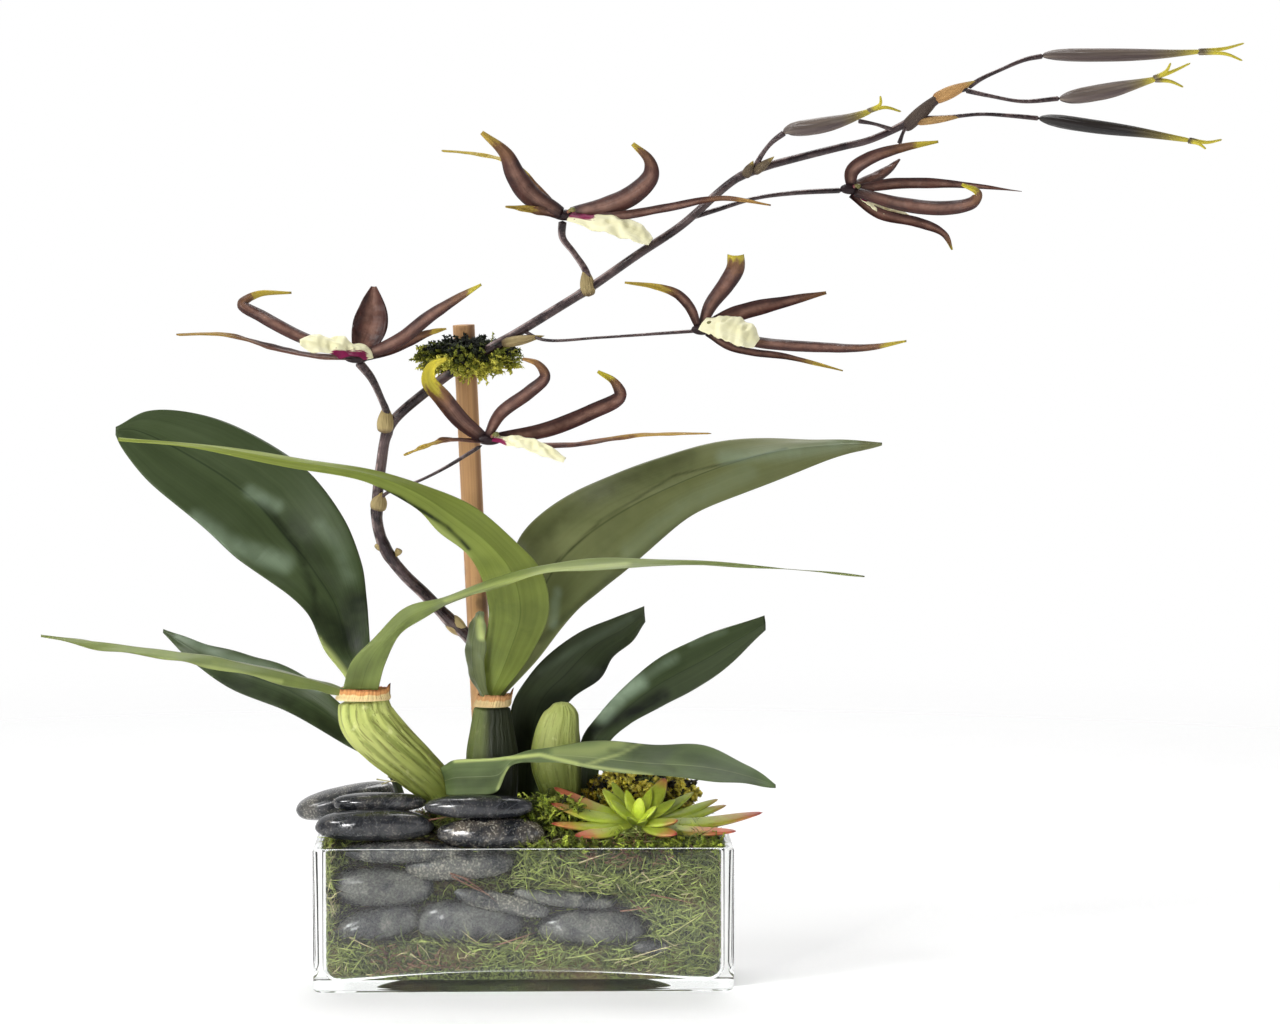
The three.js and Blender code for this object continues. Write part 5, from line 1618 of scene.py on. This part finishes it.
def swell(s):
    return np.sin(np.pi * s)


def slim(half):
    return lambda s: half * (0.3 - 0.14 * s + 0.72 * swell((0.06 + 0.92 * s) ** 0.72))


def broad(half):
    return lambda s: half * (0.3 - 0.2 * s + 0.8 * swell(0.04 + 0.94 * s))


def blunt(half):
    return lambda s: half * (0.34 + 0.66 * swell(0.06 + 0.62 * s))


def fine_ended(half):
    return lambda s: half * (0.3 + 0.7 * swell(0.1 + 0.9 * s**0.8)) * (1 - 0.8 * s**3)


def lip_width(half):
    return lambda s: half * (0.46 + 0.1 * s + 0.5 * swell(0.04 + 0.88 * s) + 0.05 * np.sin(17 * s) - 0.3 * s**9)


FRONT = (0, -1, 0.25)
UP = (0, -0.35, 1)

# The heart: its middle and half its length. Every tepal: centre line, half width, where its face
# looks, where its gold tip begins, how brown that is, and its outline if it isn't the common one.
# Every lip: centre line, half width and the line along which it is purple.
BLOOMS = {
    "bloom_1": {
        "heart": ((-119, -42, 459), 9),
        "tepals": [
            ([(-122, -43, 459), (-152, -54, 462), (-181, -64, 469), (-210, -74, 477), (-244, -86, 477)],
             4.6, UP, 0.68, 0.8),
            ([(-122, -41, 460), (-160, -36, 474), (-187, -28, 488), (-202, -22, 497), (-191, -16, 504),
              (-167, -12, 505)], 4.8, FRONT, 0.72, 0.4),
            ([(-117, -42, 461), (-109, -37, 484), (-107, -28, 510)], 12.5, FRONT, 1.2, 0),
            ([(-115, -44, 460), (-88, -52, 472), (-66, -62, 489), (-46, -70, 502), (-29, -76, 512)],
             5.2, FRONT, 0.82, 0.0),
            ([(-115, -40, 458), (-90, -30, 466), (-68, -20, 476), (-55, -14, 479)], 3.6, FRONT, 0.7, 0.5),
        ],
        "lip": ([(-108, -50, 462), (-122, -60, 466), (-140, -68, 469), (-158, -72, 471)], 9,
                [(-132, 461), (-115, 460)]),
    },
    "bloom_2": {
        "heart": ((31, -18, 561), 9),
        "tepals": [
            ([(28, -14, 562), (10, 0, 582), (-8, 10, 599), (-34, 16, 606), (-59, 20, 608)], 3.6, UP, 0.3, 0.4),
            ([(28, -20, 562), (6, -26, 575), (-5, -32, 590), (-12, -36, 605), (-29, -40, 620)], 8.2, FRONT, 0.87, 0.6),
            ([(28, -21, 561), (6, -34, 565), (-12, -46, 567)], 3.2, FRONT, 0.4, 0.6),
            ([(35, -18, 562), (60, -26, 567), (80, -32, 576), (92, -36, 589), (91, -38, 600), (79, -40, 612)],
             7.8, FRONT, 0.94, 0.3),
            ([(36, -20, 560), (73, -36, 561), (107, -46, 567), (143, -54, 573), (177, -62, 568)],
             3.4, FRONT, 0.84, 0.9),
        ],
        "lip": ([(34, -22, 560), (58, -36, 555), (78, -44, 550), (92, -48, 542)], 9, [(32, 564), (48, 562)]),
    },
    "bloom_3": {
        "heart": ((129, -42, 479), 8),
        "tepals": [
            ([(126, -43, 481), (120, -46, 495), (110, -50, 505), (95, -54, 510), (73, -60, 513)],
             3.8, FRONT, 0.62, 0.5),
            ([(129, -41, 482), (135, -38, 496), (147, -36, 512), (153, -38, 523), (153, -42, 533)],
             6.6, FRONT, 0.86, 0.2, blunt),
            ([(132, -41, 481), (157, -34, 491), (187, -26, 498), (220, -18, 505)], 6.2, FRONT, 0.97, 0.8),
            ([(133, -44, 478), (170, -56, 470), (212, -68, 467), (245, -78, 467), (272, -88, 472)],
             4.2, FRONT, 0.86, 0.2),
            ([(132, -41, 476), (153, -30, 465), (194, -16, 458), (233, -8, 448)], 3, FRONT, 0.78, 0.5),
        ],
        "lip": ([(129, -47, 483), (142, -58, 482), (156, -66, 477), (167, -68, 470)], 12, [(118, 464), (121, 466)]),
    },
    "bloom_4": {
        "heart": ((239, 4, 580), 8),
        "tepals": [
            ([(239, 4, 582), (240, 2, 593), (254, -4, 603), (277, -10, 610), (301, -14, 614)], 5.4, FRONT, 0.8, 0.2),
            ([(240, 7, 582), (257, 16, 588), (269, 24, 595), (277, 30, 602)], 4.2, FRONT, 1.2, 0),
            ([(242, 4, 580), (274, -6, 584), (316, -18, 583), (360, -30, 578)], 4.4, FRONT, 1.2, 0, fine_ended),
            ([(242, 1, 578), (274, -12, 569), (305, -24, 566), (324, -34, 570), (327, -40, 577), (315, -44, 583)],
             5.6, FRONT, 0.8, 0),
            ([(239, 4, 576), (260, 0, 562), (290, -6, 555), (306, -12, 547), (311, -18, 536)], 4.2, FRONT, 0.93, 0),
        ],
        "lip": ([(243, 2, 578), (263, 6, 566), (288, 8, 555)], 6, [(242, 579), (250, 575)]),
    },
    "bloom_5": {
        "heart": ((-24, -41, 400), 9),
        "tepals": [
            ([(-28, -43, 401), (-44, -48, 414), (-57, -52, 430), (-67, -56, 443), (-65, -58, 453), (-54, -60, 459)],
             6.8, FRONT, 0.5, 0),
            ([(-25, -44, 403), (-16, -52, 419), (5, -58, 435), (16, -62, 446), (11, -64, 455), (0, -66, 459)],
             5.0, FRONT, 0.82, 1.0),
            ([(-20, -41, 401), (17, -40, 407), (50, -38, 420), (70, -38, 431), (66, -40, 441), (54, -44, 449)],
             6.0, FRONT, 0.85, 0),
            ([(-20, -44, 399), (27, -56, 396), (84, -68, 404), (134, -80, 406)], 4, UP, 0.6, 0.8),
            ([(-28, -43, 399), (-54, -50, 401), (-71, -56, 396), (-85, -60, 390)], 3.2, UP, 0.45, 0.6),
        ],
        "lip": ([(-21, -46, 401), (4, -62, 398), (30, -72, 387)], 5.6, [(-24, 398), (-16, 397)]),
    },
}


def tepal_material(settings):
    material, tree, shader = new_material("tepal")
    places = places_on(tree, 0.7, 0.24)
    streaks = streaks_on(tree, 26, 3, 1.6)
    blotches = blotches_on(tree, 75)
    tone = mixed(blotches, (46, 22, 22), settings.tepal)
    tone = mixed(streaks["Wide"] * 0.35, tone, (120, 80, 68))
    patchy = between(cloud(object_place(tree), 120, 5, 0.3), 0.2, 0.8, 0.2, 1)
    lit = places["Rib"] * patchy * 0.75
    tone = mixed(lit, tone, (170, 130, 112))
    tone = mixed(places["Edge"] * 0.5, tone, (44, 24, 24))
    tone = mixed(places["Under"] * 0.5, tone, settings.outside)
    start = noted(tree, "gold")
    worn = (streaks["Wide"] - 0.5) * 0.1
    ragged = places["Along"] + worn + (blotches - 0.5) * 0.08
    near_tip = between(ragged, start - 0.24, start)
    tone = mixed(near_tip * 0.6, tone, (142, 102, 62))
    gold = between(ragged, start - 0.04, start + 0.07)
    tip = mixed(streaks["Wide"] * 0.5, settings.gold, (150, 140, 58))
    tip = mixed(noted(tree, "brown"), tip, mixed(streaks["Fine"], (190, 144, 84), (150, 108, 62)))
    tone = mixed(gold, tone, tip)
    tone = mixed(noted(tree, "heart"), tone, (40, 24, 28))
    height = streaks["Fine"] * 0.5 + blotches * 0.7
    feed(shader, Base_Color=tone, Roughness=between(blotches, 0, 1, 0.36, 0.48), Specular_IOR_Level=0.3,
         Normal=relief(height, 0.0006, 0.6))
    return material


def lip_material(settings):
    material, tree, shader = new_material("lip")
    streaks = streaks_on(tree, 24, 2, 1)
    specks = between(cloud(object_place(tree), 520, 2), 0.62, 0.7)
    near_foot = between(noted(tree, "throat"), 0.02, 0.3)
    tone = mixed(streaks["Wide"] * 0.35, settings.lip, (246, 240, 176))
    tone = mixed(specks * near_foot, tone, (120, 72, 50))
    purple = noted(tree, "throat") + (streaks["Fine"] - 0.5) * 0.3
    tone = mixed(between(purple, 0.3, 0.55), tone, settings.throat)
    feed(shader, Base_Color=tone, Roughness=0.5, Specular_IOR_Level=0.25,
         Normal=relief(streaks["Fine"], 0.0002, 0.5))
    return material


def column_material(settings):
    material, tree, shader = new_material("column")
    along = own_map(tree)[1]
    blotches = blotches_on(tree, 160)
    tone = mixed(between(along, 0.12, 0.5), settings.throat, settings.column)
    tone = mixed(blotches * 0.4, tone, (170, 150, 90))
    feed(shader, Base_Color=tone, Roughness=0.4)
    return material


class ORCHID_OT_blooms(bpy.types.Operator):
    """Opens the five spider-like blooms"""
    bl_idname = "orchid.blooms"
    bl_label = "Blooms"

    def execute(self, context):
        settings = context.scene.orchid_flowers
        tepals, lips, columns = tepal_material(settings), lip_material(settings), column_material(settings)
        for name, bloom in BLOOMS.items():
            centre, half = np.array(bloom["heart"][0], float), bloom["heart"][1]
            body = tube([centre - (half, 0, 0), centre, centre + (half, 0, 0)], 4, cap=0.5)
            heart = skin("heart", body, 20, 20)
            mark(heart, gold=2.0, brown=0.0, heart=1.0)
            parts = [heart]
            for index, (spine, width, face, gold, brown, *outline) in enumerate(bloom["tepals"]):
                form = outline[0] if outline else broad if width > 10 else slim
                shape = ribbon(spine, form(width), face, thickness=1.0, cup=(-0.24, 0.22)[index % 2], crease=0.3,
                               ripple=0.35, waves=3.4, dents=0.45, seed=index)

                def notes(turn, along, places):
                    return {"heart": np.clip(1 - along / 0.1, 0, 1)}

                tepal = skin("tepal", shape, 28, 60, notes)
                mark(tepal, gold=gold, brown=brown)
                parts.append(tepal)
            finish_piece(join(f"{name}_tepals_grown", parts), tepals, f"{name}_tepals")
            self.lip(name, bloom["lip"], lips)
            self.column(name, centre, bloom["lip"][0], columns)
        return {"FINISHED"}

    def lip(self, name, form, material):
        spine, width, purple = form
        shape = ribbon(spine, lip_width(width), (0, -0.8, 0.7), fold=0.1, thickness=1.1, ripple=1.0, waves=2.7,
                       dents=1.5, seed=int(10 * width))

        def notes(turn, along, places):
            return {"throat": near_line(places, purple, 8)}

        finish_piece(skin(f"{name}_lip_grown", shape, 48, 64, notes), material, f"{name}_lip")

    def column(self, name, centre, lip_spine, material):
        """The short column stands over the foot of the lip and nods towards it."""
        toward = unit(np.array(lip_spine[1], float) - np.array(lip_spine[0], float))
        base = centre + np.array((0, -5, 2.0)) + toward * 1.5
        points = [base, base + toward * 3 + (0, -1, 2.5), base + toward * 6.5 + (0, -2, 3.2)]
        size = tube(points, lambda along: 1.3 + 0.6 * bump_at(along, 0.8, 0.4), cap=0.22)
        finish_piece(skin(f"{name}_column", size, 16, 20), material)


# ---------------- buds

# Each bud's centre line beyond its stalk, half width, how grey it is, and its curled tips.
BUDS = {
    "bud_1": ([(414, -46, 675), (457, -46, 676), (488, -46, 678)], 5, 0.75,
              [[(483, -46, 678), (503, -44, 680), (518, -42, 684)],
               [(483, -46, 677), (503, -50, 676), (515, -53, 671)]]),
    "bud_2": ([(412, -60, 648), (433, -62, 653), (452, -64, 658)], 6, 0.9,
              [[(449, -64, 658), (463, -64, 663), (476, -64, 669)], [(450, -64, 657), (462, -61, 656), (472, -58, 652)],
               [(449, -64, 658), (458, -67, 663), (461, -69, 669)]]),
    "bud_3": ([(403, -46, 625), (443, -47, 620), (481, -48, 614)], 5.2, 0.1,
              [[(477, -48, 615), (491, -47, 613), (502, -46, 615)],
               [(477, -48, 614), (484, -52, 612), (489, -55, 608)]]),
    "bud_4": ([(210, -42, 624), (231, -42, 629), (251, -42, 636)], 6, 0.85,
              [[(247, -42, 635), (260, -40, 638), (272, -38, 635)],
               [(247, -42, 635), (256, -46, 640), (256, -49, 646)]]),
}

# A bud's half width, as a share of its widest, along its length.
BUD_SHARES = (0.2, 0.29, 0.36, 0.43, 0.5, 0.78, 0.95, 1.01, 1.02, 0.98, 0.91, 0.81, 0.69, 0.58, 0.48, 0.39, 0.32)
BUD_OUTLINE = (np.linspace(0, 1, len(BUD_SHARES)), BUD_SHARES)


def bud_material(settings):
    material, tree, shader = new_material("bud")
    streaks = streaks_on(tree, 15, 0.9, 0.5)
    along = own_map(tree)[1]
    grey = noted(tree, "grey")
    tone = mixed(between(grey, 0.1, 0.75), (22, 20, 20), (92, 76, 74))
    tone = mixed(streaks["Wide"] * grey, tone, (158, 144, 128))
    tone = mixed(streaks["Fine"] * 0.5, tone, (38, 28, 32))
    whole = along + noted(tree, "gold")
    tone = mixed(between(whole, 0.68, 0.9, 0, 0.6), tone, (150, 134, 66))
    tone = mixed(between(whole, 0.82, 1.02), tone, settings.gold)
    feed(shader, Base_Color=tone, Roughness=0.42, Normal=relief(streaks["Fine"], 0.0006, 0.7))
    return material


class ORCHID_OT_buds(bpy.types.Operator):
    """Sets the long striped buds on their stalks"""
    bl_idname = "orchid.buds"
    bl_label = "Buds"

    def execute(self, context):
        material = bud_material(context.scene.orchid_flowers)
        for node, (spine, half, grey, tips) in BUDS.items():
            stalk = [np.array(point, float) for point in PEDICELS[node][1]]
            onward = unit(stalk[-1] - stalk[-2])
            foot = stalk[-1] - 0.8 * onward
            points = [foot, foot + 3 * onward, *spine]

            def section(along, turn, half=half):
                size = half * np.interp(along, *BUD_OUTLINE)
                seams = 1 - 0.13 * np.abs(np.cos(1.5 * (2 * np.pi * turn + 2.2 * along))) ** 6
                return size * seams, size * seams

            body = skin("bud", sweep(points, section, cap=0.05), 40, 70)
            mark(body, gold=0.0, grey=grey)
            parts = [body]
            for tip in tips:
                curl = tube(tip, lambda along: 1.9 - 1.25 * along, cap=0.06)
                parts.append(skin("curl", curl, 12, 24))
                mark(parts[-1], gold=0.7, grey=grey)
            finish_piece(join(f"{node}_grown", parts), material, node)
        return {"FINISHED"}


# ---------------- stake and tie moss

# Middle of the stake, from foot to top, and its radius.
STAKE = [(-26, 31, 96), (-34.5, 22, 288.5), (-43, 13, 481)]
STAKE_RADIUS = 8


def bamboo_material(settings):
    material, tree, shader = new_material("bamboo")
    streaks = streaks_on(tree, 90, 3, 0.6)
    turn = own_map(tree)[0]
    stripe = abs(turn - 0.62)
    stripe = 1 - between(stripe, 0.02, 0.08)
    tone = mixed(streaks["Wide"], (180, 130, 82), settings.bamboo)
    tone = mixed(streaks["Fine"] * 0.35, tone, (226, 186, 134))
    tone = mixed(stripe * 0.55, tone, (128, 82, 52))
    smudge = between(cloud(object_place(tree), 42, 3), 0.6, 0.74)
    tone = mixed(smudge * 0.6, tone, (96, 66, 46))
    feed(shader, Base_Color=tone, Roughness=between(streaks["Fine"], 0, 1, 0.42, 0.6),
         Normal=relief(streaks["Fine"], 0.0004, 0.6))
    return material


class ORCHID_OT_stake(bpy.types.Operator):
    """Stands the bamboo stake behind the stem"""
    bl_idname = "orchid.stake"
    bl_label = "Bamboo stake"

    def execute(self, context):
        def section(along, turn):
            worn = 1 + 0.012 * np.cos(2 * np.pi * turn * 5) + 0.02 * bump_at(along, 0.63, 0.012)
            return STAKE_RADIUS * worn, STAKE_RADIUS * worn

        cane = sweep(STAKE, section)
        piece = skin("stake_cane", lambda turn, along: cane(turn, 0.5 - 0.5 * np.cos(np.pi * along)), 40, 90)
        finish_piece(piece, bamboo_material(context.scene.orchid_stem), "stake")
        return {"FINISHED"}


class ORCHID_OT_tie_moss(bpy.types.Operator):
    """Ties the stem to the stake with a tuft of dark moss"""
    bl_idname = "orchid.tie_moss"
    bl_label = "Tie moss"

    CENTRE = np.array((-40, -1, 458.0))
    HALF = np.array((40, 21, 14.0))

    def execute(self, context):
        draw = np.random.default_rng(11)
        template = sprig_template(7, 3.8, 2.0)
        count = 1000
        way = unit(draw.standard_normal((count, 3)))
        roots = self.CENTRE + way * self.HALF * draw.uniform(0.45, 0.92, (count, 1))
        outward = unit(way * (1, 1, 0.7))
        lengths = draw.uniform(4, 9.5, (count, 1))
        lead = unit(outward * (1, 1, 0.4) + 0.5 * draw.standard_normal((count, 3)) * (1, 1, 0.5)) * lengths
        curl = unit(draw.standard_normal((count, 3))) * lengths * 0.25
        below = np.clip((self.CENTRE[2] - roots[:, 2]) / self.HALF[2], -1, 1)
        tint = np.clip(0.56 + 0.75 * below + 0.22 * draw.standard_normal(count), 0, 1)
        sprigs = moss_material("tie_moss", [
            (0.0, (20, 24, 14)), (0.34, (50, 62, 26)), (0.58, (150, 158, 52)), (1.0, (244, 238, 100)),
        ], 0.55)
        piece = strand_piece("tie_moss_sprigs", template, roots, lead, curl, draw.uniform(0.8, 1.35, count), tint)
        finish_piece(piece, sprigs, "tie_moss")
        core = skin("tie_moss_core", tube(
            [self.CENTRE - (30, 0, 0), self.CENTRE, self.CENTRE + (30, 0, 0)], 11.5, cap=0.5), 24, 20)
        finish_piece(core, moss_core_material())
        return {"FINISHED"}


# ---------------- succulent

ROSETTE = np.array((83, -18, 120.0))
# Leaf tips measured from the heart, the half width and how red each leaf has turned.
ROSETTE_LEAVES = [
    ((-61, 14, 23), 6.4, 0.9), ((-63, -6, 14), 6.2, 0.6), ((-63, -18, 1), 4.6, 0.65), ((-46, -24, -7), 6.6, 0.8),
    ((28, -27, -6), 6.8, 0.7), ((72, -12, -6), 5.6, 0.9), ((92, 6, 5), 6.2, 0.7), ((29, -20, 3), 5.4, 0.55),
    ((66, 17, 9), 5, 0.45), ((60, 20, 13), 4.8, 0.4), ((42, 22, 18), 5, 0.35), ((21, 18, 29), 8, 0.5),
    ((-18, 20, 26), 5, 0.25), ((-25, 10, 22), 6.2, 0.2), ((-20, -8, 16), 5.8, 0.15), ((28, 4, 15), 5.4, 0.15),
    ((2, -5, 18), 5.2, 0.0), ((10, 8, 22), 4.6, 0.05), ((-8, 8, 22), 4.4, 0.05), ((14, -10, 12), 5, 0.05),
    ((-6, -16, 5), 5, 0.1), ((5, -15, 2), 5, 0.1),
]


def succulent_material(settings):
    material, tree, shader = new_material("succulent")
    turn, along = own_map(tree)
    blotches = blotches_on(tree, 70)
    red = noted(tree, "red")
    tone = mixed(between(red, 0.25, 0), settings.leaf, settings.heart)
    tone = mixed(blotches * 0.4, tone, (116, 140, 36))
    # Towards the foot the outer, redder leaves darken, painted shade between the leaves, and the inner ones turn paler.
    at_foot = mixed(between(red, 0.2, 0.5), (190, 200, 84), (92, 108, 28))
    tone = mixed(between(along, 0.45, 0.05, 0, 0.75), tone, at_foot)
    # Painted shade: the under side of each leaf is darker.
    below = between(turn, 0.5, 0.62)
    tone = mixed(below * 0.85, tone, (72, 84, 22))
    flush = along + (blotches - 0.5) * 0.12
    start = between(red, 0, 1, 1.02, 0.34)
    turned = between(flush, start, start + 0.5)
    tone = mixed(turned, tone, settings.blush)
    tone = mixed(turned * between(along, 0.9, 1), tone, (150, 44, 40))
    fine = cloud(object_place(tree), 380, 3)
    feed(shader, Base_Color=tone, Roughness=between(fine, 0.3, 0.7, 0.32, 0.46), Subsurface_Weight=0.12,
         Subsurface_Radius=(0.004, 0.006, 0.002), Subsurface_Scale=0.5, Normal=relief(fine, 0.0003, 0.4))
    return material


class ORCHID_OT_succulent(bpy.types.Operator):
    """Plants the succulent rosette"""
    bl_idname = "orchid.succulent"
    bl_label = "Succulent"

    def execute(self, context):
        axis = [ROSETTE + (0, 0, height) for height in (-15, -6, 1)]
        stump = skin("stump", tube(axis, 6, cap=0.4), 20, 20)
        mark(stump, red=0.0)
        parts = [stump]
        for tip, half, red in ROSETTE_LEAVES:
            reach = np.array(tip, float)
            sag = np.array((0, 0, -0.05 * np.linalg.norm(reach)))
            points = [ROSETTE + 0.02 * reach, ROSETTE + 0.5 * reach + sag, ROSETTE + reach]

            def section(along, turn, half=half):
                full = 0.4 + 0.6 * np.sin(np.pi * np.minimum(1, 0.06 + 0.8 * along))
                size = full * np.sqrt(np.maximum(1 - along**4.5, 0.0004))
                angle = 2 * np.pi * turn
                keel = 1 + 0.35 * np.maximum(0, -np.sin(angle)) ** 3
                hollow = 1 - 0.35 * np.maximum(0, np.sin(angle)) ** 2
                return half * size, 2.9 * size * keel * hollow

            leaf = skin("leaf", sweep(points, section, up=(0, -0.5, 0.87)), 24, 36)
            mark(leaf, red=red)
            parts.append(leaf)
        finish_piece(join("succulent_rosette", parts), succulent_material(context.scene.orchid_succulent), "succulent")
        return {"FINISHED"}


# ---------------- stage

CAMERA_PLACE = (0.006, -3.05, 0.56)
CAMERA_AIM = (0.0854, 0, 0.3447)
MIDDLE = (0.08, 0, 0.3)  # what the large lights are aimed at
FLOOR_RADIUS = 4
FADE = (0.7, 2.2)  # distances from the middle between which the floor turns clear


class ORCHID_OT_stage(bpy.types.Operator):
    """Sets the pale floor, the soft lights and the camera"""
    bl_idname = "orchid.stage"
    bl_label = "Stage"

    def light(self, name, place, aim, size, power, spread=180):
        lamp = bpy.data.lights.new(name, "AREA")
        lamp.shape, lamp.size, lamp.energy, lamp.spread = "DISK", size, power, math.radians(spread)
        holder = bpy.data.objects.new(name, lamp)
        holder.location = place
        holder.rotation_euler = (Vector(aim) - Vector(place)).to_track_quat("-Z", "Y").to_euler()
        bpy.context.collection.objects.link(holder)

    def floor(self, settings):
        deselect()
        bpy.ops.mesh.primitive_circle_add(vertices=96, radius=FLOOR_RADIUS, fill_type="NGON")
        floor = bpy.context.object
        floor.name = "floor"
        material, tree, shader = new_material("pale_floor")
        away = put(tree, "VectorMath", {0: object_place(tree)}, operation="LENGTH")["Value"]
        open_air = put(tree, "BsdfTransparent")
        grain = cloud(object_place(tree), 12)
        tone = mixed(grain, (248, 248, 248), settings.floor)
        feed(shader, Base_Color=tone, Roughness=0.7, Specular_IOR_Level=0.2, Emission_Color=(255, 255, 255),
             Emission_Strength=0.12)
        fade = put(tree, "MixShader", {0: between(away, *FADE), 1: Wire(shader.outputs[0]), 2: open_air[0]})
        connect(fade[0], tree.nodes["Material Output"].inputs["Surface"])
        floor.data.materials.append(material)

    def studio(self, settings):
        """White to look at and white below, but dimmer in front of the arrangement than behind it."""
        world = bpy.data.worlds.new("studio")
        world.use_nodes = True
        tree = world.node_tree
        way = put(tree, "SeparateXYZ", {0: put(tree, "TexCoord")["Generated"]})
        walls = between(way[1], -0.5, 0.9, settings.front, 1)
        walls = walls * between(way[0], -1, 1, 1.1, 0.7)
        around = put(tree, "Mix", {0: between(way[2], 0, -0.1), 2: walls, 3: 1}, data_type="FLOAT")[0]
        looked_at = put(tree, "LightPath")["Is Camera Ray"]
        shown = put(tree, "Mix", {0: looked_at, 2: around, 3: 1}, data_type="FLOAT")[0]
        connect(shown, tree.nodes["Background"].inputs["Strength"])
        tree.nodes["Background"].inputs["Color"].default_value = (1, 1, 1, 1)
        return world

    def execute(self, context):
        scene, settings = context.scene, context.scene.orchid_stage
        self.floor(settings)
        scene.world = self.studio(settings)
        self.light("key", (-2.1, -1.5, 1.9), MIDDLE, 1.0, settings.key)
        self.light("fill", (2.0, -1.4, 0.9), MIDDLE, 1.4, settings.fill)
        self.light("top", (0.2, 1.2, 2.4), MIDDLE, 1.2, settings.top)
        self.light("low", (-0.8, -1.7, 0.34), (0.01, 0, 0.03), 0.5, settings.low, spread=20)
        scene.view_settings.view_transform = "Standard"
        camera = bpy.data.objects.new("camera", bpy.data.cameras.new("camera"))
        camera.data.lens, camera.data.sensor_width = settings.lens, 36
        camera.data.clip_end = 100
        camera.location = CAMERA_PLACE
        camera.rotation_euler = (Vector(CAMERA_AIM) - Vector(CAMERA_PLACE)).to_track_quat("-Z", "Y").to_euler()
        context.collection.objects.link(camera)
        scene.camera = camera
        return {"FINISHED"}


# ---------------- add-on

SETTINGS = {
    "orchid_vase": VaseSettings, "orchid_stones": StoneSettings, "orchid_moss": MossSettings,
    "orchid_leaves": LeafSettings, "orchid_stem": StemSettings, "orchid_flowers": FlowerSettings,
    "orchid_succulent": SucculentSettings, "orchid_stage": StageSettings,
}
OPERATORS = (
    ORCHID_OT_stage, ORCHID_OT_vase, ORCHID_OT_pebbles, ORCHID_OT_moss, ORCHID_OT_pseudobulbs,
    ORCHID_OT_collars, ORCHID_OT_leaves, ORCHID_OT_flower_stem, ORCHID_OT_blooms, ORCHID_OT_buds,
    ORCHID_OT_stake, ORCHID_OT_tie_moss, ORCHID_OT_succulent,
)


class ORCHID_PT_panel(bpy.types.Panel):
    """Lists the pieces of the arrangement and their settings"""
    bl_idname = "ORCHID_PT_panel"
    bl_label = "Orchid"
    bl_space_type = "VIEW_3D"
    bl_region_type = "UI"
    bl_category = "Orchid"

    def draw(self, context):
        for operator in OPERATORS:
            self.layout.operator(operator.bl_idname)
        for name, group in SETTINGS.items():
            box = self.layout.box()
            for field in group.__annotations__:
                box.prop(getattr(context.scene, name), field)


def register():
    for name, group in SETTINGS.items():
        bpy.utils.register_class(group)
        setattr(bpy.types.Scene, name, PointerProperty(type=group))
    for operator in OPERATORS:
        bpy.utils.register_class(operator)
    bpy.utils.register_class(ORCHID_PT_panel)


def unregister():
    bpy.utils.unregister_class(ORCHID_PT_panel)
    for operator in reversed(OPERATORS):
        bpy.utils.unregister_class(operator)
    for name, group in SETTINGS.items():
        delattr(bpy.types.Scene, name)
        bpy.utils.unregister_class(group)


def main():
    register()
    for operator in OPERATORS:
        group, name = operator.bl_idname.split(".")
        getattr(getattr(bpy.ops, group), name)()


if __name__ == "__main__":
    main()
